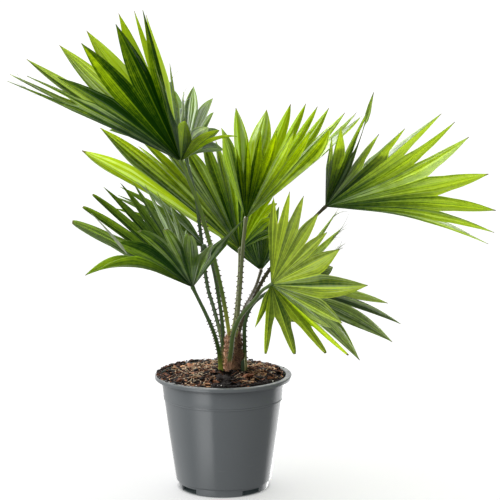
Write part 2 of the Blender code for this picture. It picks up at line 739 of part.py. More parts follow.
def old_stub(palm, tools):
    """The stub and the dry strip still held to it."""
    look = material("old_stalk", (0.06, 0.10, 0.03), 0.7)
    item = tube("old_stub", stub_rings(0.0), palm, look)
    rings = []
    for row in range(6):
        t = row / 5
        bulge = Vector((1.5 * MM * math.sin(math.pi * t), 0, 0))
        place = STUB_FOOT.lerp(STRIP_TOP, 0.45 + 0.55 * t) + bulge
        half = 1.1 * MM * (1 - 0.7 * t)
        corners = ((1, 1), (-1, 1), (-1, -1), (1, -1))
        rings.append([place + Vector((x * half, y * half * 0.5, 0)) for x, y in corners])
    tube("dry_strip", rings, tools)
    boolean(item, "UNION", tools)
    set_origin(item, STUB_FOOT.copy())
    return item


def main():
    clear_scene()
    palm = new_collection("potted_fan_palm")
    tools = new_collection("cutters")
    draw = random.Random(7)
    pot(palm, tools)
    soil(palm, tools)
    trunk(palm, tools)
    old_stub(palm, tools)
    for name, frond in FRONDS.items():
        frond_object(name, frond, palm, tools, draw)


main()
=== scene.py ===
"""Looks for the potted fan palm: fine pleated blades, ribbed stalks with spines, a fibrous trunk, loose
potting mix and a moulded pot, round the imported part. Metres, in the part's own frame.
"""
import json
import math
import random

import bmesh
import bpy
from mathutils import Matrix, Vector, noise

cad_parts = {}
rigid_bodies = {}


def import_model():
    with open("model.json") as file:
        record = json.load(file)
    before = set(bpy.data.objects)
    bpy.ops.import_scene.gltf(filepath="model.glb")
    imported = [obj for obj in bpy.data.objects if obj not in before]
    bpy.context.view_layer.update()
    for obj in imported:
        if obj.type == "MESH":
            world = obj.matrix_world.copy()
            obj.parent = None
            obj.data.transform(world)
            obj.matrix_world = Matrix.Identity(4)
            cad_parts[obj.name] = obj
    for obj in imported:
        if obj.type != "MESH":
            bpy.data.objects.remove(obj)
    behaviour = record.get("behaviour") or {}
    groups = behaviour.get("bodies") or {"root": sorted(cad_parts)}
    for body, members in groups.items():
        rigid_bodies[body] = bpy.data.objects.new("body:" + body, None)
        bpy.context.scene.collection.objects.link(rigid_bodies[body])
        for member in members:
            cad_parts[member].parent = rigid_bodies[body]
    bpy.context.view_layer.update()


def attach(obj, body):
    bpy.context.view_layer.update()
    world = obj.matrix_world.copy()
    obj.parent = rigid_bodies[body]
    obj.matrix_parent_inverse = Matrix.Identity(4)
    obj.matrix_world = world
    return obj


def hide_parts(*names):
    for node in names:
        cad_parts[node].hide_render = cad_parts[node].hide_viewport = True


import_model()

MM = 0.001
SEED = 11

# pot
RIM_RADIUS = 85 * MM
POT_HEIGHT = 143 * MM
POT_WALL = 1.5 * MM
LIP_WIDTH = 7.4 * MM
LIP_DEPTH = 5 * MM
LIP_FOOT = POT_HEIGHT - LIP_DEPTH
NECK_RADIUS = RIM_RADIUS - LIP_WIDTH
BODY_TOP = LIP_FOOT + 0.6 * MM
BODY_TOP_RADIUS = NECK_RADIUS - 0.2 * MM
BODY_WAIST = 80 * MM
BODY_FOOT_RADIUS = 59.4 * MM
BAND_HEIGHT = 10 * MM
BAND_RADIUS = 56.5 * MM
BASE_RADIUS = 55 * MM
LINE_HEIGHTS = (134 * MM, 115 * MM, 112.5 * MM)
FLOOR_HEIGHT = 8 * MM
INNER_FLOOR = FLOOR_HEIGHT + POT_WALL
BOSS_RADIUS = 12 * MM
POT_STEPS = 192
NOTCHES = 4
NOTCH_WIDTH = 28 * MM
NOTCH_DEPTH = 16 * MM
NOTCH_HEIGHT = 7 * MM
FRONT_FOOT_TURN = math.radians(-5.5)
DRAIN_HOLES = 6
DRAIN_RADIUS = 5 * MM
DRAIN_CIRCLE = 38 * MM

# soil
SOIL_EDGE = 141.5 * MM
SOIL_HEAP = 7 * MM
SOIL_LUMPS = 2.8 * MM
SOIL_ROUGH = 0.9 * MM
SOIL_RADIUS = 75.3 * MM
SOIL_BOTTOM = 120 * MM
SOIL_TONE = 0.2
SOIL_SIDES = 150
SOIL_RINGS = 52
SOIL_FIBRES = 430
SOIL_FIBRE_ROWS = 9
OVER_RIM = 1.4 * MM
# painted shade on the mix in front of the trunk: its middle, half width, start, fade and share
SOIL_SHADE_X = 7 * MM
SOIL_SHADE_HALF_WIDTH = 19 * MM
SOIL_SHADE_FROM = 4 * MM
SOIL_SHADE_FADE = 10 * MM
SOIL_SHADE_SHARE = 0.72

# The loose pieces of the mix, as (name, count, least and most size in millimetres, thickness in sizes,
# tones, how deep they sink in thicknesses, fineness, height over the rim or None on the soil, look).
LUMPS = (
    ("soil_crumbs", 3000, (1.0, 3.2), 0.7, (0.0, 0.3), 0.35, 1, None, "potting_mix"),
    ("soil_bark", 620, (2.2, 7.0), 0.3, (0.25, 0.95), 0.2, 2, None, "potting_mix"),
    ("soil_chips", 22, (6.0, 10.5), 0.42, (0.45, 0.75), 0.15, 3, None, "potting_mix"),
    ("soil_dark_bark", 420, (3.0, 8.0), 0.35, (0.0, 0.4), 0.25, 2, None, "potting_mix"),
    ("soil_on_rim", 240, (1.0, 3.4), 0.5, (0.05, 0.7), 0.3, 1, 0.0, "potting_mix"),
    ("soil_over_rim", 160, (1.5, 4.5), 0.4, (0.05, 0.6), 0.3, 1, OVER_RIM, "potting_mix"),
    ("soil_grains", 60, (1.2, 2.4), 0.9, (0.5, 1.0), 0.1, 1, None, "white_grain"),
)

# trunk and old stub
TRUNK_X = 12.8 * MM
TRUNK_FOOT = 112 * MM
TRUNK_TOP = 190 * MM
TRUNK_RADIUS = 8.6 * MM
TRUNK_NECK = 18 * MM
TRUNK_LUMPS = 3.0 * MM
TRUNK_SIDES = 40
TRUNK_ROWS = 44
CLIMBING_FIBRES = 900
CURLING_FIBRES = 700
SHEATH_FIBRES = 320
SHEATH = Vector((7.2, -13.3, 0)) * MM
SHEATH_RADIUS = 4.2 * MM
STUB_FOOT = Vector((24.5, -11.0, 131)) * MM
STUB_TOP = Vector((24.0, -12.5, 163)) * MM
STUB_WIDTH = 6.5 * MM
STUB_SLANT = 3 * MM
STUB_SIDES = 16
STUB_ROWS = 14

# the dry strip that hangs on the stub, and the bleached one at the tip of a lower left lobe
STRIP_TOP = Vector((27.5, -13.5, 172)) * MM
STRIP_HALF_WIDTH = 1.1 * MM
STRAP_LOW = Vector((-106, -180, 322)) * MM
STRAP_TIP = Vector((-145, -182, 368)) * MM
STRAP_HALF_WIDTH = 3 * MM
STRIP_ROWS = 16
STRIP_SECTION = ((1, 0), (0.4, 1), (-0.4, 1), (-1, 0), (-0.4, -1), (0.4, -1))

# blades; NEAR is how far to each side their slope is taken, in ribs
BLADE = 0.5 * MM
NEAR = 0.1
BLADE_START = 2.0 * MM
BEND = 0.3
PLEAT = 0.5
CREASE = 0.2
COLUMNS = tuple(k / 6 for k in range(-6, 7))
FUSED_ROWS = 9
FREE_ROWS = (0.08, 0.17, 0.27, 0.38, 0.5, 0.62, 0.74, 0.85, 0.94, 1.0)
TIP_SHARE = 0.03
BLUNT = ((0, 1), (0.5, 0.86), (0.85, 0.55), (0.96, 0.36), (1, 0.24))
VEINS = 34.0
FINE_VEINS = 97.0

# stalks
STALK_SIDES = 14
STALK_DEPTH = 0.78
STALK_STEP = 5 * MM
STALK_SWELL = 0.35
STALK_SWELL_LENGTH = 5 * MM
STALK_GROOVE = 0.3
STALK_ROUGH = 0.05
STALK_END = ((1.4 * MM, 0.8), (2.4 * MM, 0.35))
KNOT_SIZE = (3.3 * MM, 2.6 * MM, 2.2 * MM)
KNOT_ROUGH = 0.12
SPINE = 2.3 * MM
SPINE_RADIUS = 0.75 * MM
SPINE_TIP = 0.05 * MM
SPINE_SEAT = 0.3 * MM
SPINE_HOOK = 0.45
SPINE_STEP = 7.0 * MM
SPINE_FROM = 0.12
SPINE_TO = 0.72
SPINE_SIDES = 6
SPINE_ROWS = 4

# threads and fibres: points on each one, and sides
THREAD_STEPS = tuple(row / 8 for row in range(9))
THREAD_SIDES = 4

# floor
FLOOR_SIZE = 30
FLOOR_COLOUR = (0.95, 0.95, 0.95)
FLOOR_GLOW = 0.4
# painted shadow under the pot: its colour, and the radii over which it gives way to the floor
POT_SHADOW_COLOUR = (0.16, 0.21, 0.21)
POT_SHADOW_RADII = (51 * MM, 60 * MM)

# camera
LENS = 130.6
SENSOR = 36
CAMERA_AT = Vector((0.033, -2.2, 0.643))
CAMERA_AIM = Vector((0.033, 0, 0.298))

# The lamps, as (name, pieces they light, place, aim, size, watts).
LAMPS = (
    ("front_left", "lit_in_front", (-1.05, -1.25, 0.9), (0, 0, 0.25), (0.9, 1.2), 9),
    ("back_left", "lit_from_behind", (-1.5, 1.2, 2.0), (0, 0, 0.35), (0.5, 0.5), 125),
    ("back_right", "lit_from_behind", (1.7, 1.3, 1.0), (0, 0, 0.2), (0.8, 1.8), 40),
)

# The leaf's colours, as (dark, light, light that comes through, gloss, how far painted shade darkens it near
# the stalk and painted light lightens it to the tips) for each kind. DEEP comes through a dark lobe, the
# painted sheen is grey-green, and DRY is the very tip.
LEAVES = {
    "leaf_mid": ((0.007, 0.026, 0.002), (0.068, 0.120, 0.008), (0.46, 0.53, 0.022), 0.05, 0.8),
    "leaf_dark": ((0.007, 0.026, 0.004), (0.072, 0.125, 0.014), (0.34, 0.42, 0.04), 0.10, 0.7),
    "leaf_bright": ((0.009, 0.034, 0.002), (0.098, 0.158, 0.006), (0.49, 0.56, 0.012), 0.03, 0.8),
    "leaf_light": ((0.036, 0.085, 0.008), (0.340, 0.420, 0.055), (0.52, 0.57, 0.045), 0.10, 0.5),
    "leaf_grey": ((0.024, 0.050, 0.016), (0.200, 0.270, 0.080), (0.42, 0.48, 0.07), 0.24, 0.6),
    "leaf_dull": ((0.010, 0.030, 0.008), (0.090, 0.140, 0.024), (0.42, 0.49, 0.065), 0.14, 1.3),
}
DEEP = (0.032, 0.082, 0.004)
PAINTED_SHEEN_COLOUR = (0.50, 0.56, 0.43)
DRY = (0.12, 0.10, 0.04)
DRY_THROUGH = (0.2, 0.15, 0.05)

# The stalks' colours, as (body, left edge, right edge, foot); a darker edge is painted shade and a lighter
# one a painted highlight.
STALKS = {
    "stalk_pale_green": ((0.15, 0.24, 0.035), (0.06, 0.09, 0.04), (0.24, 0.36, 0.06), (0.50, 0.52, 0.08)),
    "stalk_dark_green": ((0.055, 0.105, 0.028), (0.02, 0.03, 0.012), (0.05, 0.08, 0.03), (0.26, 0.32, 0.05)),
    "stalk_leafy_green": ((0.075, 0.15, 0.03), (0.025, 0.045, 0.015), (0.06, 0.10, 0.03), (0.52, 0.6, 0.09)),
    "stalk_mid_green": ((0.12, 0.19, 0.05), (0.10, 0.16, 0.05), (0.60, 0.64, 0.55), (0.25, 0.24, 0.08)),
    "stalk_brown": ((0.20, 0.22, 0.10), (0.38, 0.40, 0.24), (0.06, 0.045, 0.03), (0.34, 0.38, 0.07)),
    "stalk_dark_brown": ((0.09, 0.075, 0.045), (0.035, 0.02, 0.014), (0.14, 0.15, 0.09), (0.1, 0.06, 0.035)),
    "stub_green": ((0.035, 0.065, 0.025), (0.015, 0.02, 0.01), (0.40, 0.42, 0.16), (0.06, 0.06, 0.02)),
}

# Looks of two colours, as (scale, detail and stretch of the noise between them or None to go by tone, dark,
# light, roughness, scale, strength and depth of the pits or None).
PLAIN = {
    "spine_brown": ((400.0, 2.0, 1), (0.030, 0.012, 0.007), (0.085, 0.030, 0.016), 0.4, None),
    "dry_thread": (None, (0.42, 0.46, 0.32), (0.80, 0.82, 0.76), 0.6, None),
    "dry_strip": ((350.0, 2.0, 0.2), (0.20, 0.17, 0.06), (0.60, 0.56, 0.30), 0.6, None),
    "bleached_strip": ((350.0, 2.0, 0.2), (0.27, 0.34, 0.17), (0.62, 0.68, 0.52), 0.5, None),
    "white_grain": ((500.0, 3.0, 1), (0.45, 0.42, 0.36), (0.85, 0.83, 0.78), 0.9, (900.0, 0.5, 0.3 * MM)),
}

# The mix's colours from dark peat over orange bark to pale chips, by tone.
MIX_DARK = (0.003, 0.002, 0.0015)
MIX_STEPS = (
    (0.3, (0.012, 0.006, 0.004)),
    (0.5, (0.065, 0.024, 0.012)),
    (0.68, (0.19, 0.075, 0.034)),
    (0.84, (0.40, 0.22, 0.11)),
)
MIX_PALE = (0.56, 0.46, 0.32)

# Each frond. "stalk" has its points in the part's frame and "widths" its width at foot, middle and top, in
# millimetres, and "turn" rolls it about itself, in degrees. "guides" has some of the blade's "ribs", as
# number, azimuth and elevation in degrees, length and tip droop in millimetres. "split" has the share of a
# rib's length at which its lobe comes free. "tones" has a digit for each lobe, from 0 for the darkest green
# to 9 for the lightest, partly the lobe's own green and partly painted light and shade, and the next row a
# digit for its painted sheen, from 0 for plain green to 9 for a strong grey-green sheen. A lobe in "narrow"
# is folded down to that share of its width, one in "short" ends that much sooner, one in "wisps" has that
# many loose threads at its tip, one in "shapes" has its own (way out, width) steps, and one in "blunt" has
# those in BLUNT. "flat" makes the pleats that much shallower, and "look" names a kind of leaf other than the
# slot.
FRONDS = {
    "frond_upper_left": {
        "slot": "leaf_mid", "bark": "pale_green", "widths": (4.6, 5.6, 4.2), "turn": 10, "ribs": 21,
        "tones": "554221121334578998335", "pale": "000000001333231000032",
        "flat": 0.6,
        "narrow": {3: 0.5, 4: 0.5, 8: 0.85, 9: 0.5, 10: 0.6, 11: 0.65, 12: 0.8, 18: 0.35, 19: 0.3},
        "short": {18: 0.88},
        "wisps": {9: 2, 10: 5, 11: 4, 18: 4, 19: 5},
        "split": [(0, 0.5), (4, 0.56), (10, 0.62), (16, 0.6), (20, 0.55)],
        "stalk": [
            (7.8, -1.8, 181), (7.6, -2, 190), (4, -12, 218), (-2, -25, 253), (-12, -35, 299),
            (-19, -42, 326), (-27, -48, 356), (-36, -50, 381), (-49, -50, 413),
        ],
        "guides": [
            (0, -56, 26, 134, 20), (1, -70, 23, 150, 10), (2, -86, 22, 163, 0), (3, -97, 38, 179, 0),
            (4, -105, 50, 162, 0), (5, -120, 66, 197, 0), (6, -131, 57, 196, 0), (7, -142, 46, 199, 0),
            (8, -150, 37, 198, 15), (9, -167, 32, 214, 10), (10, 180, 26, 228, 5), (11, 172, 26, 231, 0),
            (12, 164, 30, 226, -5), (13, 155, 39, 213, 0), (14, 144, 46, 210, 0), (15, 131, 55, 210, 0),
            (16, 122, 57, 209, 0), (17, 113, 55, 207, 0), (18, 98, 39, 196, 0), (19, 91, 24, 175, 0),
            (20, 78, 11, 145, 0),
        ],
    },
    "frond_back_left": {
        "slot": "leaf_dark", "bark": "dark_green", "widths": (6.0, 4.6, 4.0), "turn": -12, "ribs": 10,
        "tones": "4444466544", "pale": "0000012100",
        "split": [(0, 0.6), (9, 0.6)],
        "stalk": [
            (2, 13.5, 131), (1, 15, 160), (-3, 24, 184), (-13, 34, 221), (-19, 38, 240), (-23, 40, 263),
            (-29, 41, 315), (-35, 45, 359), (-47, 54, 407),
        ],
        "guides": [
            (0, 158, 23, 115, 15), (2, 113, 33, 155, 15), (4, 98, 34, 158, 15), (5, 87, 38, 154, 15),
            (6, 74, 35, 140, 15), (7, 75, 26, 139, 15), (8, 70, 18, 123, 15), (9, 63, 8, 102, 15),
        ],
    },
    "frond_centre_back": {
        "slot": "leaf_bright", "bark": "brown", "widths": (4.6, 5.0, 4.2), "turn": 0, "ribs": 17,
        "tones": "95953434745889843", "pale": "52412101000000001",
        "split": [(0, 0.7), (8, 0.72), (12, 0.7), (16, 0.6)],
        "stalk": [(9.8, 4.6, 181), (10.4, 5.4, 190), (15.5, 14, 213), (19.5, 35, 256), (20.5, 50, 291)],
        "guides": [
            (0, 171, 33, 241, 10), (1, 166, 41, 242, 10), (2, 152, 42, 199, 10), (3, 146, 42, 216, 10),
            (4, 134, 42, 204, 10), (5, 122, 43, 193, 10), (6, 111, 45, 196, 10), (7, 104, 45, 190, 10),
            (8, 97, 46, 175, 10), (9, 88, 51, 176, 10), (10, 77, 55, 177, 10), (11, 64, 56, 160, 10),
            (12, 50, 56, 140, 10), (13, 42, 52, 121, 10), (14, 23, 52, 83, 10), (15, -25, 47, 69, 10),
            (16, -36, 30, 78, 10),
        ],
    },
    "frond_centre_front": {
        "slot": "leaf_bright", "bark": "brown", "widths": (4.6, 5.0, 4.2), "turn": 8, "ribs": 17,
        "tones": "24345543677879786", "pale": "00004233231000221",
        "wisps": {7: 4, 8: 3},
        "split": [(0, 0.62), (6, 0.7), (10, 0.74), (16, 0.68)],
        "stalk": [
            (15.2, -4.9, 181), (15.4, -5, 191), (18, -10, 219), (21, -10, 256), (24, -7, 299),
            (28, -5, 338),
        ],
        "guides": [
            (0, -96, 42, 135, -4), (2, -81, 45, 158, -4), (4, -61, 44, 160, -4), (6, -35, 43, 165, -4),
            (7, -4, 41, 183, -4), (8, 9, 42, 183, -4), (9, 16, 44, 176, -4), (10, 26, 48, 171, -4),
            (11, 34, 50, 167, -4), (12, 43, 52, 166, -4), (13, 55, 53, 162, -4), (14, 73, 54, 151, -4),
            (15, 99, 57, 149, -4), (16, 109, 46, 137, -4),
        ],
    },
    "frond_lower_left": {
        "slot": "leaf_dark", "bark": "leafy_green", "widths": (7.2, 4.8, 4.0), "turn": 0, "ribs": 17,
        "tones": "24443265443434444", "pale": "36332002000019673",
        "narrow": {0: 0.4, 1: 0.7, 7: 0.8, 13: 0.7, 14: 0.7},
        "blunt": (2, 3, 4, 7, 8, 9),
        "split": [(0, 0.6), (3, 0.62), (8, 0.58), (16, 0.62)],
        "stalk": [(-3, -10.5, 131), (-3, -15, 153), (-6, -40, 185), (-14, -80, 221), (-34, -110, 271)],
        "guides": [
            (0, -34, 53, 121, 10), (1, -74, 39, 121, 10), (2, -90, 41, 133, 10), (3, -105, 42, 139, 10),
            (4, -122, 43, 146, 20), (5, -140, 38, 136, 20), (6, -166, 27, 142, 45), (7, 180, 32, 165, 10),
            (8, 171, 38, 166, 10), (9, 164, 43, 169, 10), (10, 155, 46, 170, 10), (11, 146, 50, 164, 10),
            (13, 130, 53, 153, 10), (15, 110, 49, 128, 10), (16, 98, 44, 98, 10),
        ],
    },
    "frond_left_back": {
        "slot": "leaf_dark", "bark": "dark_green", "widths": (6.0, 4.8, 4.0), "turn": 15, "ribs": 11,
        "tones": "44555454434", "pale": "00002304000",
        "split": [(0, 0.55), (11, 0.55)],
        "stalk": [
            (-2.2, 1.5, 131), (-1.8, 1.5, 165), (-0.6, 2, 196), (-7, 1, 247), (-15, 0, 286),
            (-23, 0, 303),
        ],
        "guides": [
            (0, -155, 8, 72, 10), (2, 180, 21, 110, 10), (4, 170, 31, 134, 10), (5, 162, 31, 133, 10),
            (6, 157, 34, 139, 10), (7, 150, 40, 130, 10), (8, 145, 40, 113, 10), (9, 138, 39, 97, 10),
            (11, 119, 38, 72, 10),
        ],
    },
    "frond_right_front": {
        "slot": "leaf_light", "bark": "mid_green", "widths": (7.6, 5.6, 4.0), "turn": 0, "ribs": 14,
        "tones": "57666655385444", "pale": "00112233400000",
        "flat": 0.35,
        "narrow": {0: 0.8, 1: 0.85, 2: 0.85, 9: 0.9, 10: 0.72, 11: 0.75, 12: 0.8, 13: 0.9},
        "blunt": (9, 10, 11, 12),
        "split": [(0, 0.66), (3, 0.66), (6, 0.56), (9, 0.57), (11, 0.47), (13, 0.44)],
        "stalk": [
            (7.2, -13.2, 131), (7.2, -13.4, 155), (10, -20, 177), (13, -30, 201), (22, -45, 224),
            (38, -65, 247), (48, -78, 262), (58, -80, 269),
        ],
        "guides": [
            (0, 84, 73, 105, 0), (1, 53, 71, 114, 0), (2, 32, 66, 113, 0), (3, 15, 55, 102, 0),
            (4, 4, 43, 91, 0), (5, -4, 28, 92, 0), (6, -8, -3, 115, -8), (7, -31, -21, 103, 0),
            (8, -41, -24, 100, 0), (9, -12, -41, 124, 0), (10, -29, -46, 105, 0), (11, -62, -52, 93, 0),
            (12, -98, -55, 89, 0), (13, -111, -38, 68, 0),
        ],
    },
    "frond_low_right": {
        "slot": "leaf_grey", "bark": "dark_green", "widths": (6.0, 4.8, 4.0), "turn": 0, "ribs": 15,
        "tones": "444443955787665", "pale": "112344011422100",
        "narrow": {0: 0.5, 1: 0.5, 9: 0.6, 10: 0.9, 11: 0.7, 12: 0.6},
        "short": {0: 0.64, 1: 0.8, 2: 0.68, 7: 0.72, 8: 0.72, 9: 0.85, 10: 0.92},
        "wisps": {9: 14, 10: 14, 11: 6, 12: 3},
        "split": [(0, 0.6), (9, 0.6), (12, 0.5), (14, 0.5)],
        "stalk": [
            (26.8, 1, 131), (26.8, 1, 157), (26.2, -5, 186), (27, -12, 210), (35, -20, 232),
            (51, -28, 248), (63, -30, 254),
        ],
        "guides": [
            (0, -45, -53, 70, 0), (2, -8, -40, 96, 10), (3, 0, -29, 119, 30), (4, 8, -15, 152, 30),
            (5, 13, -7, 162, 30), (6, 23, -3, 155, 20), (8, 41, 12, 139, 10), (10, 41, 27, 136, -10),
            (11, 42, 36, 129, -10), (13, 68, 47, 125, 10), (14, 82, 48, 107, 10),
        ],
    },
    "frond_right_back": {
        "slot": "leaf_dark", "bark": "dark_brown", "widths": (4.6, 4.8, 4.0), "turn": 0, "ribs": 12,
        "tones": "343443445544", "pale": "000000000000",
        "split": [(0, 0.68), (11, 0.68)],
        "stalk": [
            (15.7, 4.8, 181), (15.9, 5.2, 190), (25, 30, 217), (33, 50, 228), (41, 70, 242),
            (47, 85, 258),
        ],
        "guides": [
            (0, 146, 32, 84, 0), (3, 113, 45, 123, 0), (6, 94, 49, 138, 0), (8, 79, 42, 123, 0),
            (9, 73, 41, 110, 0), (11, 48, 38, 85, 0),
        ],
    },
    "frond_far_right": {
        "slot": "leaf_mid", "bark": "dark_brown", "widths": (4.6, 4.8, 4.0), "turn": 10, "ribs": 16,
        "tones": "4543546666654667", "pale": "1012301152124555",
        "look": "leaf_dull",
        "narrow": {4: 0.7, 5: 0.6, 6: 0.8, 7: 0.78, 8: 0.78, 9: 0.8, 10: 0.85, 11: 0.8, 12: 0.8, 13: 0.8},
        "wisps": {5: 2},
        "shapes": {
            3: [(0.0, 1.0), (0.2, 0.4), (0.45, 0.1), (0.6, 0.12), (0.75, 0.9), (0.88, 0.8), (1.0, 0.03)],
        },
        "split": [(0, 0.66), (3, 0.55), (6, 0.62), (9, 0.66), (15, 0.62)],
        "stalk": [
            (18.4, 0, 181), (18.6, 0, 190), (23, 6, 206), (33, 14, 225), (53, 30, 262), (77, 30, 291),
            (101, 25, 323), (126, 20, 349),
        ],
        "guides": [
            (0, -90, 32, 189, 0), (1, -86, 36, 192, 0), (2, -73, 42, 196, 0), (3, -73, 32, 192, -50),
            (4, -70, 33, 190, 0), (5, -54, 36, 182, 0), (6, -24, 39, 190, 0), (7, -11, 29, 180, -20),
            (8, -3, 21, 187, -20), (9, 3, 11, 206, 0), (10, 8, 3, 217, 20), (11, 13, -3, 222, 28),
            (12, 18, -7, 224, 30), (13, 28, -5, 217, 30), (15, 46, 4, 209, 30),
        ],
    },
}


# Meshes and pieces

def placed(name, mesh):
    item = bpy.data.objects.new(name, mesh)
    bpy.context.scene.collection.objects.link(item)
    return item


def from_points(name, points, faces):
    mesh = bpy.data.meshes.new(name)
    mesh.from_pydata([tuple(p) for p in points], [], faces)
    mesh.shade_smooth()
    return placed(name, mesh)


def from_work(name, work):
    mesh = bpy.data.meshes.new(name)
    work.to_mesh(mesh)
    work.free()
    return placed(name, mesh)


def face_outwards(item):
    work = bmesh.new()
    work.from_mesh(item.data)
    bmesh.ops.recalc_face_normals(work, faces=work.faces)
    work.to_mesh(item.data)
    work.free()


def keep_sharp(item, degrees):
    """Edges that turn by more than this stay sharp in a smooth piece."""
    item.data.set_sharp_from_angle(angle=math.radians(degrees))


def add_values(item, domain="POINT", **values):
    """Stores a number for each point or face under each name, for the materials to read."""
    for name, numbers in values.items():
        layer = item.data.attributes.new(name, "FLOAT", domain)
        layer.data.foreach_set("value", numbers)


def dress(item, look, slot, *nodes):
    """Gives a piece its material and its body, and hides the nodes that it stands for; slot is not used."""
    item.data.materials.append(LOOKS[look])
    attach(item, "root")
    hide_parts(*nodes)


def turns(sides):
    """The angles of points that run once round."""
    return [2 * math.pi * k / sides for k in range(sides)]


def polar(angle, radius=1.0):
    return math.cos(angle) * radius, math.sin(angle) * radius


def band(first, sides, rows):
    """The faces between this many rows of points that run round, from point number first on."""
    faces = []
    for row in range(rows - 1):
        for k in range(sides):
            a = first + row * sides + k
            b = first + row * sides + (k + 1) % sides
            faces.append((a, b, b + sides, a + sides))
    return faces


def closed_band(first, sides, rows):
    last = first + (rows - 1) * sides
    ends = [tuple(first + k for k in reversed(range(sides))), tuple(last + k for k in range(sides))]
    return band(first, sides, rows) + ends


def tube(name, rings):
    """A closed loft through rings of equal point counts."""
    sides = len(rings[0])
    item = from_points(name, [p for ring in rings for p in ring], closed_band(0, sides, len(rings)))
    face_outwards(item)
    keep_sharp(item, 50)
    return item


def between(keys, values, x):
    """A smooth curve through values at keys, for numbers or vectors."""
    last = len(keys) - 2
    i = max(0, min(last, sum(1 for key in keys if key <= x) - 1))
    width = keys[i + 1] - keys[i]
    t = (x - keys[i]) / width
    rise = (values[i + 1] - values[i]) / width
    before = (values[i + 1] - values[i - 1]) / (keys[i + 1] - keys[i - 1]) if i > 0 else rise
    after = (values[i + 2] - values[i]) / (keys[i + 2] - keys[i]) if i < last else rise
    return (
        values[i] * (2 * t**3 - 3 * t**2 + 1)
        + before * (width * (t**3 - 2 * t**2 + t))
        + values[i + 1] * (3 * t**2 - 2 * t**3)
        + after * (width * (t**3 - t**2))
    )


def direction(azimuth, elevation):
    a = math.radians(azimuth)
    e = math.radians(elevation)
    return Vector((math.cos(e) * math.cos(a), math.cos(e) * math.sin(a), math.sin(e)))


def aim(item, place, at):
    """Sets an item at a place, looking at another."""
    item.location = place
    item.rotation_mode = "QUATERNION"
    item.rotation_quaternion = (Vector(at) - item.location).to_track_quat("-Z", "Y")


# Materials

class Wire:
    """What a node gives. Between wires, or a wire and a number, + - and * make the nodes for that sum."""

    def __init__(self, graph, socket):
        self.graph = graph
        self.socket = socket

    def __add__(self, other):
        return self.graph.math("ADD", self, other)

    def __sub__(self, other):
        return self.graph.math("SUBTRACT", self, other)

    def __rsub__(self, other):
        return self.graph.math("SUBTRACT", other, self)

    def __mul__(self, other):
        return self.graph.math("MULTIPLY", self, other)


class Graph:
    """Short calls for the nodes of a material, or of the world."""

    def __init__(self, owner):
        owner.use_nodes = True
        self.owner = owner
        self.tree = owner.node_tree

    def put(self, socket, value):
        if isinstance(value, Wire):
            self.tree.links.new(value.socket, socket)
        elif isinstance(value, tuple) and len(socket.default_value) == 4:
            socket.default_value = (*value, 1.0)
        else:
            socket.default_value = value

    def fill(self, node, inputs):
        """Sets or links inputs, by name or number."""
        for name, value in dict(inputs).items():
            self.put(node.inputs[name], value)
        return node

    def make(self, kind, inputs=(), **settings):
        node = self.tree.nodes.new("ShaderNode" + kind)
        for name, value in settings.items():
            setattr(node, name, value)
        return self.fill(node, inputs)

    def get(self, kind, output, inputs=(), **settings):
        """One output of a new node."""
        return Wire(self, self.make(kind, inputs, **settings).outputs[output])

    def value(self, name):
        return self.get("Attribute", "Fac", attribute_name=name)

    def math(self, operation, a, b=0.0, clamp=False):
        return self.get("Math", 0, {0: a, 1: b}, operation=operation, use_clamp=clamp)

    def mix(self, share, a, b, kind="RGBA"):
        """From a to b, for colours or, with the kind FLOAT, for numbers."""
        first, second, result = {"RGBA": (6, 7, 2), "FLOAT": (2, 3, 0)}[kind]
        return self.get("Mix", result, {0: share, first: a, second: b}, data_type=kind)

    def ramp(self, x, low, high):
        """0 below low and 1 above high, smooth between."""
        inputs = {"Value": x, "From Min": low, "From Max": high}
        return self.get("MapRange", "Result", inputs, interpolation_type="SMOOTHSTEP")

    def place(self, axis):
        return self.get("SeparateXYZ", axis, {"Vector": self.get("TexCoord", "Object")})

    def noise(self, scale, detail=2.0, stretch=(1, 1, 1)):
        place = self.get("TexCoord", "Object")
        place = self.get("Mapping", "Vector", {"Vector": place, "Scale": Vector(stretch)})
        return self.get("TexNoise", "Fac", {"Vector": place, "Scale": scale, "Detail": detail})

    def noise_over(self, x, y, z, detail, roughness=0.5):
        """Noise by three values instead of by place."""
        place = self.get("CombineXYZ", "Vector", {"X": x, "Y": y, "Z": z})
        inputs = {"Vector": place, "Scale": 1.0, "Detail": detail, "Roughness": roughness}
        return self.get("TexNoise", "Fac", inputs)

    def bump(self, height, strength, depth, before=None):
        inputs = {"Height": height, "Strength": strength, "Distance": depth}
        if before:
            inputs["Normal"] = before
        return self.get("Bump", "Normal", inputs)

    def surface(self, colour, roughness, **inputs):
        """Sets the material's own shader, with _ for each space in the names of inputs."""
        inputs = {name.replace("_", " "): value for name, value in inputs.items()}
        inputs.update({"Base Color": colour, "Roughness": roughness})
        return self.fill(self.tree.nodes["Principled BSDF"], inputs)


def material(name):
    return Graph(bpy.data.materials.new(name))


def scaled(colour, by):
    return tuple(min(1.0, c * by) for c in colour)


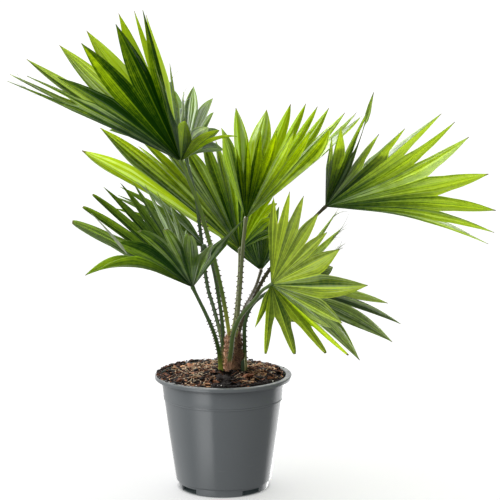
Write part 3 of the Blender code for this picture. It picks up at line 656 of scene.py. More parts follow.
def leaf_look(name, dark, light, through, gloss, painted_base_shade):
    """Veins and streaks run along the lobes. fold is 0 on a rib and 1 on a fold, rib counts the ribs, along
    runs out to the tip, and tone and the painted sheen are per lobe.
    """
    g = material(name)
    fold = g.value("fold")
    rib = g.value("rib")
    along = g.value("along")
    tone = g.value("tone")
    painted_sheen_level = g.value("pale")
    veins = g.math("SINE", fold * VEINS)
    fine = g.math("SINE", fold * FINE_VEINS)
    streaks = g.noise_over(rib * 3.5, along * 1.3, tone, 5.0, 0.62)
    bands = g.noise_over(rib * 9.0, along, tone, 3.0)
    # painted shade: one half of each pleat is darker, as if lit from one side
    side = g.ramp(g.math("FRACT", rib + 0.5), 0.46, 0.54)

    # tone brings the painted light and shade of each lobe
    shade = tone
    for spread, amount in (
        (streaks, 1.25),
        (bands, 0.9),
        (side, 0.3),
        (g.noise(60.0, 3.0), 0.4),
        (g.noise(240.0, 2.0), 0.45),
    ):
        shade = shade + (spread - 0.5) * amount
    shade = shade + veins * 0.15 + fine * 0.13
    # painted shade near the stalk, and painted light out to the tips
    shade = g.math("ADD", shade, (along - 0.52) * painted_base_shade, clamp=True)

    # painted sheen: streaks of pale grey-green on the lobes with a sheen digit, which also raise the gloss
    pale = painted_sheen_level * g.ramp(bands, 0.46, 0.56) * g.ramp(g.noise(24.0, 3.0), 0.25, 0.48)
    on_rib = 1.0 - g.ramp(fold, 0.03, 0.14)
    on_fold = g.ramp(fold, 0.9, 0.99)
    dry = g.ramp(along + tone * 0.02, 0.985, 1.02)
    colour = g.mix(shade, dark, light)
    passed = g.mix(shade, DEEP, through)
    for share, paint in (
        (pale * 0.9, PAINTED_SHEEN_COLOUR),
        (on_rib * 0.55, scaled(light, 2.0)),
        (on_fold * 0.35, scaled(light, 2.2)),
        (dry, DRY),
    ):
        colour = g.mix(share, colour, paint)
    for share, paint in ((pale * 0.7, PAINTED_SHEEN_COLOUR), (on_rib * 0.32, scaled(through, 0.9)), (dry, DRY_THROUGH)):
        passed = g.mix(share, passed, paint)

    normal = g.bump(veins * 0.5 + fine * 0.35, 0.4, 0.35 * MM)
    normal = g.bump(g.noise(260.0, 2.0), 0.25, 0.4 * MM, normal)
    rough = g.noise(120.0) * 0.2 + 0.32
    shine = pale * 0.5 + painted_sheen_level * 0.45 + gloss
    body = g.surface(colour, rough, Normal=normal, Specular_IOR_Level=shine)
    glow = g.make("BsdfTranslucent", {"Color": passed, "Normal": normal})
    both = g.make("AddShader")
    g.tree.links.new(body.outputs[0], both.inputs[0])
    g.tree.links.new(glow.outputs[0], both.inputs[1])
    g.tree.links.new(both.outputs[0], g.tree.nodes["Material Output"].inputs["Surface"])
    return g.owner


def stalk_look(name, body, left, right, foot):
    """along runs from foot to blade, round from -1 on the right edge of the stalk to 1 on the left one."""
    g = material(name)
    streaks = g.noise(300.0, 3.0, (1, 1, 0.06))
    around = g.value("round")
    colour = g.mix(streaks, scaled(body, 0.7), scaled(body, 1.3))
    # the edge colours are painted shade on the dark side and a painted highlight on the light side
    for edge, paint in ((around, left), (around * -1.0, right)):
        colour = g.mix(g.ramp(edge, 0.5, 0.95) * 0.85, colour, paint)
    low = 1.0 - g.ramp(g.value("along"), 0.06, 0.32)
    colour = g.mix(low * 0.9, colour, foot)
    g.surface(colour, 0.42, Normal=g.bump(streaks, 0.4, 0.5 * MM))
    return g.owner


def plain_look(name, grain, dark, light, roughness, pits):
    g = material(name)
    inputs = {}
    if grain:
        scale, detail, stretch = grain
        share = g.noise(scale, detail, (1, 1, stretch))
    else:
        share = g.value("tone")
    if pits:
        scale, strength, depth = pits
        inputs["Normal"] = g.bump(g.noise(scale), strength, depth)
    g.surface(g.mix(share, dark, light), roughness, **inputs)
    return g.owner


def fibre_look():
    """Brown mat: tan in front and on the left, nearly black on the right from painted shade. tone is per
    strand.
    """
    g = material("trunk_fibre")
    share = g.value("tone") + (g.noise(110.0, 4.0) - 0.35) * 0.8
    # painted shade: the trunk's right side, away from the lamps, is darkened
    right = g.ramp(g.place("X"), TRUNK_X - 1 * MM, TRUNK_X + 6 * MM)
    dark = g.mix(share, (0.016, 0.008, 0.006), (0.44, 0.25, 0.17))
    tan = g.mix(share, (0.13, 0.05, 0.025), (0.85, 0.52, 0.34))
    normal = g.bump(g.noise(500.0, 3.0, (1, 1, 0.15)), 0.6, 0.6 * MM)
    g.surface(g.mix(right, tan, dark), 0.85, Normal=normal, Specular_IOR_Level=0.25)
    return g.owner


def mix_look():
    """Potting mix, coloured by each lump's own tone, which carries the painted shade in front of the trunk.
    """
    g = material("potting_mix")
    stops = g.make("ValToRGB", {"Fac": g.value("tone") + (g.noise(420.0, 4.0) - 0.5) * 0.35})
    steps = stops.color_ramp.elements
    steps[0].color = (*MIX_DARK, 1)
    steps[1].color = (*MIX_PALE, 1)
    for place, colour in MIX_STEPS:
        steps.new(place).color = (*colour, 1)
    normal = g.bump(g.noise(700.0, 4.0), 0.7, 0.5 * MM)
    g.surface(Wire(g, stops.outputs["Color"]), 0.8, Normal=normal, Specular_IOR_Level=0.15)
    return g.owner


def pot_look():
    """Satin grey moulding with a fine grain and faint scuffs, worn pale on top of the rim."""
    g = material("grey_plastic")
    colour = g.mix(g.noise(14.0, 3.0), (0.190, 0.208, 0.218), (0.212, 0.232, 0.243))
    worn = g.ramp(g.place("Z"), POT_HEIGHT - 1.4 * MM, POT_HEIGHT - 0.2 * MM)
    worn = worn * g.ramp(g.noise(55.0, 5.0), 0.35, 0.6)
    scuffs = g.ramp(g.noise(60.0, 6.0, (1, 1, 4)), 0.66, 0.74)
    for share, paint in ((worn * 0.75, (0.46, 0.47, 0.47)), (scuffs * 0.25, (0.30, 0.315, 0.32))):
        colour = g.mix(share, colour, paint)
    normal = g.bump(g.noise(1400.0, 2.0), 0.12, 0.2 * MM)
    normal = g.bump(g.noise(30.0, 2.0, (1, 1, 0.2)), 0.15, 0.8 * MM, normal)
    rough = g.noise(90.0, 4.0) * 0.12 + 0.13
    g.surface(colour, rough, Normal=normal, Specular_IOR_Level=0.5)
    return g.owner


def looks():
    """Every material of the plant and the pot, by name."""
    made = {name: leaf_look(name, *parts) for name, parts in LEAVES.items()}
    made.update((name, stalk_look(name, *parts)) for name, parts in STALKS.items())
    made.update((name, plain_look(name, *parts)) for name, parts in PLAIN.items())
    made.update(trunk_fibre=fibre_look(), potting_mix=mix_look(), grey_plastic=pot_look())
    return made


# Fronds

def lobe_share(frond, key, number):
    """What a frond's row gives for this lobe, or 1."""
    return frond.get(key, {}).get(number, 1.0)


class Fan:
    """The smooth sheet that a blade is pleated from. u counts the ribs across it, and r is the way out."""

    def __init__(self, frond):
        guides = frond["guides"]
        self.ribs = frond["ribs"]
        self.centre = Vector(frond["stalk"][-1]) * MM
        self.keys = [g[0] for g in guides]
        self.ways = [direction(g[1], g[2]) for g in guides]
        self.lengths = [g[3] * MM for g in guides]
        self.droops = [g[4] * MM for g in guides]
        self.splits = tuple(zip(*frond["split"]))

    def way(self, u):
        return between(self.keys, self.ways, u).normalized()

    def length(self, u):
        return between(self.keys, self.lengths, u)

    def free_from(self, u):
        """How far out the lobes come free."""
        return self.length(u) * between(*self.splits, u)

    def point(self, u, r):
        bend = max(0.0, r / self.length(u) - BEND) / (1 - BEND)
        droop = between(self.keys, self.droops, u) * bend * bend
        return self.centre + self.way(u) * r - Vector((0, 0, droop))

    def normal(self, u, r):
        across = self.point(u + NEAR, r) - self.point(u - NEAR, r)
        out = self.point(u, r + MM) - self.point(u, r - MM)
        return across.cross(out).normalized()

    def half_width(self, u, r):
        """Half the width of one pleat."""
        return r * (self.way(u + NEAR) - self.way(u - NEAR)).length * (0.25 / NEAR)


def blade(name, frond, draw):
    """The pleated sheet: every lobe is creased a few times across, and the lobes come free further out."""
    fan = Fan(frond)
    shift = draw.randrange(200)
    deep = PLEAT * frond.get("flat", 1.0)
    points = []
    faces = []
    folds = []
    ribs = []
    alongs = []
    tones = []
    pales = []

    def corner(u, r, lift, share, fold, rib):
        points.append(fan.point(u, r) + fan.normal(u, r) * (lift * deep * fan.half_width(u, r) * share))
        folds.append(fold)
        ribs.append(rib + shift)
        alongs.append(r / fan.length(u))
        return len(points) - 1

    def profile(column, crease):
        """How far this column lies above the middle of the pleat, in pleats."""
        return abs(column) ** 1.15 - 0.5 + crease * math.sin(3 * math.pi * abs(column))

    def fused(u, lift, fold):
        """One column of points, from the stalk to where the lobes come free."""
        reach = fan.free_from(u) - BLADE_START
        return [
            corner(u, BLADE_START + reach * k / FUSED_ROWS, lift, 1.0, fold, u)
            for k in range(FUSED_ROWS + 1)
        ]

    edge = fused(-0.5, 0.5, 1.0)
    for number in range(fan.ribs):
        before = len(faces)
        # tone is partly the lobe's own green and partly painted light and shade
        tone = (int(frond["tones"][number]) - 1.5) / 7 + draw.uniform(-0.05, 0.05)
        # the painted sheen of this lobe
        pale = int(frond["pale"][number]) / 9
        narrow = lobe_share(frond, "narrow", number)
        twist = draw.uniform(-0.5, 0.5)
        crease = CREASE * draw.uniform(0.5, 1.4)
        length = fan.length(number) * lobe_share(frond, "short", number)
        shape = BLUNT if number in frond.get("blunt", ()) else frond.get("shapes", {}).get(number)
        lines = [edge]
        for column in COLUMNS[1:]:
            lines.append(fused(number + column / 2, profile(column, crease), abs(column)))
        edge = lines[-1]
        for left, right in zip(lines, lines[1:]):
            for k in range(FUSED_ROWS):
                faces.append((left[k], right[k], right[k + 1], left[k + 1]))
        row = [line[-1] for line in lines]
        for t in FREE_ROWS:
            share = between(*zip(*shape), t) if shape else (1 - t**1.6) * (1 + 0.1 * t)
            share = max(TIP_SHARE, share * (1 - (1 - narrow) * min(1.0, 4 * t)))
            new = []
            for column in COLUMNS:
                u = number + column / 2
                start = fan.free_from(u)
                r = start + (length - start) * t
                part = share * start / r
                lift = profile(column, crease) + column * twist * t * t
                new.append(corner(number + column / 2 * part, r, lift, part, abs(column), u))
            for k in range(len(COLUMNS) - 1):
                faces.append((row[k], row[k + 1], new[k + 1], new[k]))
            row = new
        tones.extend([tone] * (len(faces) - before))
        pales.extend([pale] * (len(faces) - before))
    item = from_points(name + "_blade", points, faces)
    add_values(item, fold=folds, rib=ribs, along=alongs)
    add_values(item, "FACE", tone=tones, pale=pales)
    keep_sharp(item, 24)
    shell = item.modifiers.new("Thickness", "SOLIDIFY")
    shell.thickness = BLADE
    shell.offset = 0.0
    return item


class Stem:
    """The middle line and the width of a frond's stalk. s is the way along it."""

    def __init__(self, frond):
        self.stops = [Vector(p) * MM for p in frond["stalk"]]
        self.keys = [0.0]
        for a, b in zip(self.stops, self.stops[1:]):
            self.keys.append(self.keys[-1] + (b - a).length)
        self.total = self.keys[-1]
        self.turn = math.radians(frond["turn"])
        self.widths = [w * MM for w in frond["widths"]]

    def place(self, s):
        return between(self.keys, self.stops, s)

    def frame(self, s):
        """The way on, and the two cross directions."""
        on = (self.place(s + MM) - self.place(s - MM)).normalized()
        side = Matrix.Rotation(self.turn, 3, on) @ on.cross(Vector((0, 1, 0))).normalized()
        return on, side, on.cross(side).normalized()

    def half_width(self, s):
        foot, middle, top = self.widths
        share = s / self.total
        if share < 0.5:
            t = share / 0.5
            return (foot + (middle - foot) * t * (2 - t)) / 2
        return (middle + (top - middle) * ((share - 0.5) / 0.5)) / 2


def stalk(name, frond):
    """The stalk, flat on top with a shallow groove, and swollen where the ribs leave it."""
    stem = Stem(frond)
    count = math.ceil(stem.total / STALK_STEP)
    rings = []
    alongs = []
    rounds = []
    for row in range(count + 1):
        s = stem.total * row / count
        place = stem.place(s)
        on, side, up = stem.frame(s)
        width = stem.half_width(s)
        swell = 1 + STALK_SWELL * math.exp(-(((stem.total - s) / STALK_SWELL_LENGTH) ** 2))
        ring = []
        for k, angle in enumerate(turns(STALK_SIDES)):
            across = math.cos(angle) * width * swell
            over = math.sin(angle) * width * STALK_DEPTH * swell
            groove = STALK_GROOVE * max(0.0, math.sin(angle)) ** 3
            rough = 1 + STALK_ROUGH * noise.noise(place * 160 + Vector((k * 0.7, 0, 0)))
            ring.append(place + (side * across + up * over * (1 - groove)) * rough)
            alongs.append(s / stem.total)
            rounds.append(math.cos(angle))
        rings.append(ring)
    for on_by, part in STALK_END:
        rings.append([place + (p - place) * part + on * on_by for p in rings[count]])
        alongs.extend([1.0] * STALK_SIDES)
        rounds.extend(rounds[-STALK_SIDES:])
    item = tube(name + "_stalk", rings)
    add_values(item, along=alongs, round=rounds)
    return item


def knot(name, frond):
    """The small ridge where the ribs meet the stalk."""
    fan = Fan(frond)
    work = bmesh.new()
    bmesh.ops.create_icosphere(work, subdivisions=3, radius=1.0)
    out = sum((fan.way(u) for u in range(fan.ribs)), Vector()).normalized()
    over = fan.normal(fan.ribs / 2, 10 * MM)
    across = out.cross(over).normalized()
    over = across.cross(out)
    long, wide, high = KNOT_SIZE
    for vert in work.verts:
        x, y, z = vert.co * (1 + KNOT_ROUGH * noise.noise(vert.co * 2 + fan.centre * 50))
        vert.co = fan.centre + out * (x * long) + across * (y * wide) + over * (z * high)
    count = len(work.verts)
    item = from_work(name + "_knot", work)
    item.data.shade_smooth()
    add_values(item, along=[1.0] * count, round=[0.3] * count)
    return item


def spines(name, frond, draw):
    """Curved thorns along both edges of the stalk."""
    stem = Stem(frond)
    points = []
    faces = []
    for hand in (-1, 1):
        s = stem.total * SPINE_FROM + draw.uniform(0, SPINE_STEP)
        while s < stem.total * SPINE_TO:
            on, side, up = stem.frame(s)
            long = SPINE * draw.uniform(0.75, 1.1)
            base = stem.place(s) + side * hand * (stem.half_width(s) - SPINE_SEAT)
            faces += closed_band(len(points), SPINE_SIDES, SPINE_ROWS)
            for row in range(SPINE_ROWS):
                t = row / (SPINE_ROWS - 1)
                middle = base + side * hand * long * t - on * long * SPINE_HOOK * t * t
                radius = SPINE_RADIUS * (1 - t) ** 0.8 + SPINE_TIP
                for angle in turns(SPINE_SIDES):
                    points.append(middle + (on * math.cos(angle) * 1.5 + up * math.sin(angle)) * radius)
            s += SPINE_STEP * draw.uniform(0.75, 1.2)
    item = from_points(name + "_spines", points, faces)
    face_outwards(item)
    return item


def wisps(name, frond, draw):
    """Loose dry threads at the tips of some lobes."""
    fan = Fan(frond)
    lines = []
    for number, count in frond["wisps"].items():
        end = fan.length(number) * lobe_share(frond, "short", number)
        for _ in range(count):
            place = fan.point(number, end * draw.uniform(0.8, 0.96))
            on = fan.way(number + draw.uniform(-1.2, 1.2))
            bend = Vector([draw.uniform(-0.11, 0.11) for _ in range(3)])
            step = draw.uniform(1.4, 3.8) * MM
            thick = draw.uniform(0.28, 0.55) * MM
            line = []
            for row in range(len(THREAD_STEPS)):
                line.append((place.copy(), thick * (1 - 0.09 * row)))
                place += on * step
                on = (on + bend).normalized()
            lines.append(line)
    return strands(name + "_wisps", lines, [draw.random() for _ in lines])


def fronds(draw):
    for name, frond in FRONDS.items():
        slot = frond["slot"]
        bark = "stalk_" + frond["bark"]
        dress(blade(name, frond, draw), frond.get("look", slot), slot, name)
        dress(stalk(name, frond), bark, slot, name)
        dress(knot(name, frond), bark, slot, name)
        dress(spines(name, frond, draw), "spine_brown", slot, name)
        if "wisps" in frond:
            dress(wisps(name, frond, draw), "dry_thread", slot, name)


# Strands: thin tubes that follow points

def strands(name, lines, tones):
    """Thin tubes, each along its own points with a radius at each, all in one piece."""
    points = []
    faces = []
    values = []
    for line, tone in zip(lines, tones):
        faces += closed_band(len(points), THREAD_SIDES, len(line))
        for row, (place, radius) in enumerate(line):
            ahead = line[min(row + 1, len(line) - 1)][0] - line[max(row - 1, 0)][0]
            side = ahead.orthogonal().normalized()
            up = ahead.normalized().cross(side)
            for angle in turns(THREAD_SIDES):
                points.append(place + (side * math.cos(angle) + up * math.sin(angle)) * radius)
                values.append(tone)
    item = from_points(name, points, faces)
    add_values(item, tone=values)
    return item


# Trunk and stub

def trunk_radius(height):
    """The fibre mat closes in round the stalks at the top."""
    return TRUNK_RADIUS * (1 - 0.3 * max(0.0, 1 - (TRUNK_TOP - height) / TRUNK_NECK) ** 2)


def by_trunk(turn, radius, height):
    x, y = polar(turn, radius)
    return Vector((TRUNK_X + x, y, height))


def climbing_fibre(draw):
    """A fibre that climbs round the trunk and stands off at its end."""
    angle = draw.uniform(0, 2 * math.pi)
    lean = draw.uniform(-0.9, 0.9)
    low = draw.uniform(TRUNK_FOOT + 20 * MM, TRUNK_TOP - 12 * MM)
    rise = draw.uniform(10, 34) * MM
    loose = draw.uniform(0.0, 1.0) ** 1.6 * 7.0 * MM
    wave = draw.uniform(0, 6.28)
    thick = draw.uniform(0.22, 0.6) * MM
    line = []
    for t in THREAD_STEPS:
        turn = angle + lean * t + 0.15 * math.sin(wave + 7 * t)
        height = min(low + rise * t, TRUNK_TOP + 6 * MM)
        radius = trunk_radius(height) + 0.1 * MM + loose * t * t + 0.7 * MM * math.sin(wave + 5 * t)
        line.append((by_trunk(turn, radius, height), thick * (1 - 0.7 * t)))
    return line


def curling_fibre(draw):
    """A loose fibre that curls out from the trunk and back, more of them low down."""
    angle = draw.uniform(0, 2 * math.pi)
    curl = draw.uniform(-2.5, 2.5)
    spread = draw.random() ** 1.3
    low = (137 + 50 * spread) * MM
    reach = draw.uniform(1.5, 7.0) * MM * (1 - 0.4 * spread)
    drop = draw.uniform(-5.0, 9.0) * MM
    line = []
    for t in THREAD_STEPS:
        turn = angle + curl * t * 0.6 + 0.2 * math.sin(9 * t + curl)
        radius = TRUNK_RADIUS - 0.5 * MM + reach * math.sin(math.pi * (0.15 + 0.7 * t))
        line.append((by_trunk(turn, radius, low + drop * t), draw.uniform(0.2, 0.42) * MM))
    return line


def sheath_fibre(draw):
    """A fibre round the foot of the front stalk."""
    angle = draw.uniform(math.pi * 0.9, math.pi * 2.1)
    lean = draw.uniform(-0.8, 0.8)
    low = draw.uniform(137, 158) * MM
    rise = draw.uniform(5, 12) * MM
    loose = draw.random() ** 2 * 2.5 * MM
    thick = draw.uniform(0.2, 0.45) * MM
    line = []
    for t in THREAD_STEPS:
        turn = angle + lean * t
        radius = SHEATH_RADIUS + loose * t * t
        x, y = polar(turn, radius)
        place = Vector((x, y * 0.85, low + rise * t))
        line.append((place + SHEATH, thick * (1 - 0.6 * t)))
    return line


def trunk(draw):
    rings = []
    values = []
    for row in range(TRUNK_ROWS + 1):
        height = TRUNK_FOOT + (TRUNK_TOP - TRUNK_FOOT) * row / TRUNK_ROWS
        ring = []
        for angle in turns(TRUNK_SIDES):
            way = Vector((*polar(angle), 0))
            rough = TRUNK_LUMPS * noise.noise(Vector((way.x * 3, way.y * 3, height * 110)))
            ring.append(way * (trunk_radius(height) - 1.0 * MM + rough) + Vector((TRUNK_X, 0, height)))
            values.append(0.35 + 0.3 * noise.noise(Vector((way.x * 9, way.y * 9, height * 300))))
        rings.append(ring)
    core = tube("trunk_core", rings)
    add_values(core, tone=values)
    dress(core, "trunk_fibre", "trunk_fibre", "trunk")
    lines = []
    tones = []
    for fibre, count in (
        (climbing_fibre, CLIMBING_FIBRES),
        (curling_fibre, CURLING_FIBRES),
        (sheath_fibre, SHEATH_FIBRES),
    ):
        for _ in range(count):
            lines.append(fibre(draw))
            tones.append(draw.random())
    dress(strands("trunk_fibres", lines, tones), "trunk_fibre", "trunk_fibre", "trunk")


def stub():
    rings = []
    alongs = []
    rounds = []
    for row in range(STUB_ROWS + 1):
        t = row / STUB_ROWS
        place = STUB_FOOT.lerp(STUB_TOP, t)
        width = STUB_WIDTH / 2 * (1 - 0.25 * t)
        ring = []
        for angle in turns(STUB_SIDES):
            slant = Vector((0, 0, STUB_SLANT * t * math.cos(angle)))
            x, y = polar(angle, width)
            way = Vector((x, y * STALK_DEPTH, 0))
            ring.append(place + way * (1 + 0.08 * noise.noise(way * 700 + place * 200)) + slant)
            alongs.append(0.15 + 0.8 * t)
            rounds.append(-math.cos(angle))
        rings.append(ring)
    item = tube("old_stub_body", rings)
    add_values(item, along=alongs, round=rounds)
    dress(item, "stub_green", "old_stalk", "old_stub")


def strip(name, low, high, half_width):
    """A thin dry strip, a ribbon that narrows and curls at its tip."""
    rings = []
    for row in range(STRIP_ROWS + 1):
        t = row / STRIP_ROWS
        place = low.lerp(high, t) + Vector((1.5 * MM * math.sin(math.pi * t), 0, 0))
        half = half_width * (1 - 0.85 * t) * min(1.0, 0.2 + 3.5 * t)
        turn = 0.9 * t
        wide = Vector((*polar(turn), 0)) * half
        thick = Vector((-math.sin(turn), math.cos(turn), 0)) * half * 0.35
        rings.append([place + wide * a + thick * b for a, b in STRIP_SECTION])
    return tube(name, rings)


def strips():
    item = strip("old_stub_strip", STUB_FOOT.lerp(STRIP_TOP, 0.4), STRIP_TOP, STRIP_HALF_WIDTH)
    dress(item, "dry_strip", "old_stalk", "old_stub")
    item = strip("frond_lower_left_strip", STRAP_LOW, STRAP_TIP, STRAP_HALF_WIDTH)
    dress(item, "bleached_strip", "leaf_dark", "frond_lower_left")


# Soil

def soil_height(x, y):
    away = math.hypot(x - TRUNK_X, y) / NECK_RADIUS
    heap = SOIL_HEAP * (1 - min(1.0, away) ** 2)
    rough = noise.noise(Vector((x * 60, y * 60, 0))) + 0.5 * noise.noise(Vector((x * 150, y * 150, 3)))
    return SOIL_EDGE + heap + SOIL_LUMPS * rough


def painted_soil_shade(x, y):
    """How light the mix is: painted shade darkens it in front of the trunk."""
    aside = abs(x - SOIL_SHADE_X + 8 * MM * noise.noise(Vector((x * 90, y * 90, 5)))) / SOIL_SHADE_HALF_WIDTH
    ahead = min(1.0, max(0.0, (SOIL_SHADE_FROM - y) / SOIL_SHADE_FADE))
    return 1 - SOIL_SHADE_SHARE * ahead * min(1.0, max(0.0, 2.2 * (1 - aside)))


def soil_top():
    """The mix's own surface, rough all over, closed below."""
    points = []
    values = [SOIL_TONE] * SOIL_SIDES
    for angle in turns(SOIL_SIDES):
        points.append((*polar(angle, SOIL_RADIUS * 0.97), SOIL_BOTTOM))
    for row in range(SOIL_RINGS):
        radius = SOIL_RADIUS * (1 - row / SOIL_RINGS)
        for angle in turns(SOIL_SIDES):
            x, y = polar(angle, radius)
            coarse = noise.noise(Vector((x * 420, y * 420, 7)))
            fine = noise.noise(Vector((x * 900, y * 900, 9)))
            points.append((x, y, soil_height(x, y) + SOIL_ROUGH * (coarse + 0.6 * fine)))
            # the tone is darkened by the painted shade in front of the trunk
            values.append(painted_soil_shade(x, y) * (0.16 + 0.28 * max(0.0, noise.noise(Vector((x * 380, y * 380, 1))))))
    points.append((0, 0, soil_height(0, 0)))
    values.append(SOIL_TONE)
    middle = len(points) - 1
    last = SOIL_RINGS * SOIL_SIDES
    faces = [tuple(range(SOIL_SIDES))] + band(0, SOIL_SIDES, SOIL_RINGS + 1)
    faces += [(last + k, last + (k + 1) % SOIL_SIDES, middle) for k in range(SOIL_SIDES)]
    item = from_points("soil_top", points, faces)
    face_outwards(item)
    add_values(item, tone=values)
    return item


def spot(draw, most):
    """A random place on the soil, clear of the pot's wall by most."""
    radius = (SOIL_RADIUS + 1.5 * MM - most) * math.sqrt(draw.random())
    return polar(draw.uniform(0, 2 * math.pi), radius)


def on_rim(draw, level):
    """A random place on the rim, mostly at the left and behind; higher levels keep further in."""
    angle = math.radians(draw.gauss(150, 45))
    return polar(angle, NECK_RADIUS + draw.uniform(0.5, 5.5) * MM - level)


def lumps(draw, name, count, sizes, flat, tones, sink, fineness, over_rim):
    """Rough grains: small spheres pushed about by noise, each squashed and turned its own way."""
    work = bmesh.new()
    bmesh.ops.create_icosphere(work, subdivisions=fineness, radius=0.5)
    ball = [vert.co.copy() for vert in work.verts]
    sides = [[vert.index for vert in face.verts] for face in work.faces]
    work.free()
    least, most = (size * MM for size in sizes)
    points = []
    faces = []
    values = []
    for _ in range(count):
        size = draw.uniform(least, most) * draw.uniform(0.6, 1.0)
        long = size * draw.uniform(1.0, 2.6)
        x, y = spot(draw, long / 2) if over_rim is None else on_rim(draw, over_rim)
        seed = Vector((draw.uniform(0, 50), draw.uniform(0, 50), draw.uniform(0, 50)))
        turn = Matrix.Rotation(draw.uniform(0, 6.28), 3, "Z")
        pitch = Matrix.Rotation(draw.uniform(-0.6, 0.6), 3, "X")
        roll = Matrix.Rotation(draw.uniform(-0.5, 0.5), 3, "Y")
        thick = size * flat * draw.uniform(0.7, 1.2)
        shape = turn @ (pitch @ roll) @ Matrix.Diagonal((long, size, thick))
        floor = soil_height(x, y) if over_rim is None else POT_HEIGHT + over_rim
        place = Vector((x, y, floor + thick * (0.5 - sink)))
        first = len(points)
        for corner in ball:
            points.append(shape @ (corner * (1 + 0.45 * noise.noise(corner * 3 + seed))) + place)
        for side in sides:
            faces.append([first + k for k in side])
        # the tone is darkened by the painted shade in front of the trunk
        values.extend([draw.uniform(*tones) * painted_soil_shade(x, y)] * len(ball))
    item = from_points(name, points, faces)
    add_values(item, tone=values)
    keep_sharp(item, 40)
    return item


def soil_fibre(draw, x, y):
    """A fibre that wanders over the mix from this place."""
    heading = draw.uniform(0, 2 * math.pi)
    curl = draw.uniform(-3.0, 3.0)
    step = draw.uniform(0.8, 2.8) * MM
    lift = draw.uniform(0.4, 3.0) * MM
    line = []
    for row in range(SOIL_FIBRE_ROWS + 1):
        height = soil_height(x, y) + 0.6 * MM + lift * math.sin(math.pi * (row / SOIL_FIBRE_ROWS))
        line.append((Vector((x, y, height)), draw.uniform(0.18, 0.42) * MM))
        x += math.cos(heading) * step
        y += math.sin(heading) * step
        heading += curl / SOIL_FIBRE_ROWS + draw.uniform(-0.25, 0.25)
        if math.hypot(x, y) > SOIL_RADIUS:
            x *= 0.97
            y *= 0.97
    # the tone is darkened by the painted shade in front of the trunk
    return line, draw.uniform(0.5, 1.2) * painted_soil_shade(x, y)


def soil(draw):
    dress(soil_top(), "potting_mix", "soil", "soil")
    for *parts, look in LUMPS:
        dress(lumps(draw, *parts), look, "soil", "soil")
    fibres = [soil_fibre(draw, *spot(draw, 14 * MM)) for _ in range(SOIL_FIBRES)]
    dress(strands("soil_fibres", *zip(*fibres)), "potting_mix", "soil", "soil")


# Pot

def body_radius(height):
    share = (height - BAND_HEIGHT) / (BODY_TOP - BAND_HEIGHT)
    return BODY_FOOT_RADIUS + (BODY_TOP_RADIUS - BODY_FOOT_RADIUS) * share


def pot_profile():
    """The pot's section: down its outside, in underneath, out on its floor, up inside and over its lip."""
    profile = [(BODY_TOP_RADIUS, BODY_TOP)]
    for height in LINE_HEIGHTS:
        for out, up in ((0.15, 1.8), (0.45, 0.8), (0.35, 0.2), (-0.35, -0.3)):
            profile.append((body_radius(height) + out * MM, height + up * MM))
    profile.append((body_radius(BODY_WAIST), BODY_WAIST))
    for radius, out, height, up in (
        (BODY_FOOT_RADIUS, 0.1, BAND_HEIGHT, 1.6), (BODY_FOOT_RADIUS, -0.3, BAND_HEIGHT, 0.5),
        (BAND_RADIUS, 0.9, BAND_HEIGHT, 0), (BAND_RADIUS, 0.3, BAND_HEIGHT, -0.5),
        (BAND_RADIUS, 0, BAND_HEIGHT, -1.4), (BASE_RADIUS, 0.8, 0, 1.2), (BASE_RADIUS, 0.4, 0, 0.3),
        (BASE_RADIUS, 0, 0, 0), (BASE_RADIUS, -1.4, 0, 0), (BASE_RADIUS, -1.4, FLOOR_HEIGHT, 0),
        (BOSS_RADIUS, 0.4, FLOOR_HEIGHT, 0), (BOSS_RADIUS, 0, FLOOR_HEIGHT, -0.6),
        (BOSS_RADIUS, 0, 0, 0.5), (BOSS_RADIUS, -0.5, 0, 0), (0, 0, 0, 0),
        (0, 0, INNER_FLOOR, 0), (BODY_FOOT_RADIUS, -3.5, INNER_FLOOR, 0),
        (BODY_FOOT_RADIUS - POT_WALL, 0, FLOOR_HEIGHT, 5), (NECK_RADIUS - POT_WALL, -0.3, LIP_FOOT, 0),
        (NECK_RADIUS, -0.6, POT_HEIGHT, -1.6), (NECK_RADIUS, 0.1, POT_HEIGHT, -0.5),
        (NECK_RADIUS, 1.2, POT_HEIGHT, -0.05), (NECK_RADIUS, 2.4, POT_HEIGHT, 0),
        (RIM_RADIUS, -1.8, POT_HEIGHT, 0), (RIM_RADIUS, -0.8, POT_HEIGHT, -0.25),
        (RIM_RADIUS, -0.2, POT_HEIGHT, -0.9), (RIM_RADIUS, 0, POT_HEIGHT, -1.9),
        (RIM_RADIUS, -0.2, LIP_FOOT, 0.5), (RIM_RADIUS, -0.6, LIP_FOOT, 0), (RIM_RADIUS, -1.3, LIP_FOOT, 0),
        (RIM_RADIUS, -1.6, LIP_FOOT, 0.5), (RIM_RADIUS, -2.0, POT_HEIGHT, -2.2),
        (NECK_RADIUS, 1.4, POT_HEIGHT, -2.2), (NECK_RADIUS, 0.4, POT_HEIGHT, -3.0),
    ):
        profile.append((radius + out * MM, height + up * MM))
    return profile


def cutter(cutters, place, turn=0.0, scale=(1, 1, 1)):
    """Takes the object that was just made into the cutters."""
    item = bpy.context.object
    item.scale = scale
    item.location = place
    item.rotation_euler = (0, 0, turn)
    for home in list(item.users_collection):
        home.objects.unlink(item)
    cutters.objects.link(item)


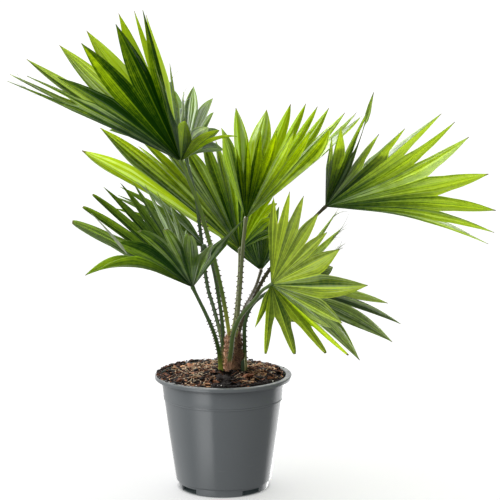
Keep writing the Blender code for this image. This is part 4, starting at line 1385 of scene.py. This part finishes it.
def pot():
    work = bmesh.new()
    ring = [work.verts.new((radius, 0.0, height)) for radius, height in pot_profile()]
    for a, b in zip(ring, ring[1:] + ring[:1]):
        work.edges.new((a, b))
    item = from_work("pot_body", work)
    screw = item.modifiers.new("Screw", "SCREW")
    screw.steps = POT_STEPS
    screw.render_steps = POT_STEPS
    screw.use_merge_vertices = True
    screw.merge_threshold = 0.03 * MM
    cutters = bpy.data.collections.new("pot_cutters")
    bpy.context.scene.collection.children.link(cutters)
    for number in range(NOTCHES):
        turn = FRONT_FOOT_TURN + math.pi / NOTCHES + number * 2 * math.pi / NOTCHES
        bpy.ops.mesh.primitive_cube_add(size=1)
        place = (math.sin(turn) * BASE_RADIUS, -math.cos(turn) * BASE_RADIUS, 0)
        cutter(cutters, place, turn, (NOTCH_WIDTH, NOTCH_DEPTH, NOTCH_HEIGHT * 2))
    for turn in turns(DRAIN_HOLES):
        bpy.ops.mesh.primitive_cylinder_add(vertices=24, radius=DRAIN_RADIUS, depth=POT_WALL * 3)
        cutter(cutters, (*polar(turn, DRAIN_CIRCLE), FLOOR_HEIGHT + POT_WALL / 2))
    cut = item.modifiers.new("Cut", "BOOLEAN")
    cut.operation = "DIFFERENCE"
    cut.operand_type = "COLLECTION"
    cut.collection = cutters
    for modifier in list(item.modifiers):
        with bpy.context.temp_override(object=item, active_object=item):
            bpy.ops.object.modifier_apply(modifier=modifier.name)
    for spent in list(cutters.objects):
        bpy.data.objects.remove(spent, do_unlink=True)
    item.data.shade_smooth()
    keep_sharp(item, 32)
    dress(item, "grey_plastic", "pot_plastic", "pot")


# Floor, light and camera

def lit_pieces():
    """What the lamps light: the one in front the whole plant, and those behind it all but the pot's body."""
    groups = {}
    for name in ("lit_in_front", "lit_from_behind"):
        groups[name] = bpy.data.collections.new(name)
        bpy.context.scene.collection.children.link(groups[name])
    for piece in bpy.context.scene.objects:
        if piece.type == "MESH" and not piece.hide_render:
            groups["lit_in_front"].objects.link(piece)
            if piece.name != "pot_body":
                groups["lit_from_behind"].objects.link(piece)
    return groups


def floor():
    """A white floor that glows, with a painted shadow under the pot alone. It lights and shades nothing
    else.
    """
    bpy.ops.mesh.primitive_plane_add(size=FLOOR_SIZE)
    item = bpy.context.object
    item.name = "floor"
    g = material("pale_floor")
    across, back = (g.math("POWER", g.place(axis), 2.0) for axis in "XY")
    # the painted shadow under the pot: dark, and without the glow
    clear = g.ramp(g.math("SQRT", across + back), *POT_SHADOW_RADII)
    colour = g.mix(clear, POT_SHADOW_COLOUR, FLOOR_COLOUR)
    g.surface(colour, 0.8, Emission_Color=(1.0, 1.0, 1.0), Emission_Strength=clear * FLOOR_GLOW)
    item.data.materials.append(g.owner)
    item.visible_diffuse = False
    item.visible_glossy = False
    item.visible_transmission = False
    item.visible_shadow = False


def room():
    """The studio's own light: bright behind, above and to the left, and dim in front. Glossy rays that go
    down see a bright band at the left and two behind instead, and little straight below.
    """
    world = bpy.data.worlds.new("studio")
    bpy.context.scene.world = world
    g = Graph(world)
    place = g.get("TexCoord", "Generated")

    def towards(way, low=None, high=None):
        """How far a direction of the room is along this way, -1 to 1, or 0 below low and 1 above high."""
        along = g.get("VectorMath", "Value", {0: place, 1: Vector(way)}, operation="DOT_PRODUCT")
        return along if low is None else g.ramp(along, low, high)

    light = g.math("MAXIMUM", towards((-0.3, 0.5, 0.45)) + 0.42, 0.3)
    edge = (-0.914, 0.407, 0)
    left = towards(edge, -0.02, 0.02) * (1.0 - towards(edge, 0.25, 0.7))
    right_behind = towards((0.64, 0.77, 0), 0.82, 0.96)
    left_behind = towards((-0.6, 0.8, 0), 0.3, 0.9)
    shine = left * 2.3 + 0.25 + right_behind * 2.0 + left_behind * 0.5
    shine = g.mix(towards((0, 0, -1), 0.5, 0.75), shine, 0.3, "FLOAT")
    low_gloss = towards((0, 0, -1), 0.0, 0.2) * g.get("LightPath", "Is Glossy Ray")
    light = g.mix(low_gloss, light, shine, "FLOAT")
    light = g.mix(g.get("LightPath", "Is Camera Ray"), light, 1.1, "FLOAT")
    g.fill(g.tree.nodes["Background"], {"Color": (1.0, 1.0, 1.0), "Strength": light})


def lamps(groups):
    for name, group, place, at, size, watts in LAMPS:
        lamp = bpy.data.lights.new(name, "AREA")
        lamp.shape = "RECTANGLE"
        lamp.size, lamp.size_y = size
        lamp.energy = watts
        item = placed(name, lamp)
        aim(item, place, at)
        item.light_linking.receiver_collection = groups[group]


def camera():
    lens = bpy.data.cameras.new("camera")
    lens.lens = LENS
    lens.sensor_width = SENSOR
    item = placed("camera", lens)
    aim(item, CAMERA_AT, CAMERA_AIM)
    bpy.context.scene.camera = item
    bpy.context.scene.view_settings.view_transform = "Standard"


LOOKS = looks()
random_draw = random.Random(SEED)
camera()
fronds(random_draw)
trunk(random_draw)
stub()
strips()
soil(random_draw)
pot()
groups = lit_pieces()
floor()
room()
lamps(groups)
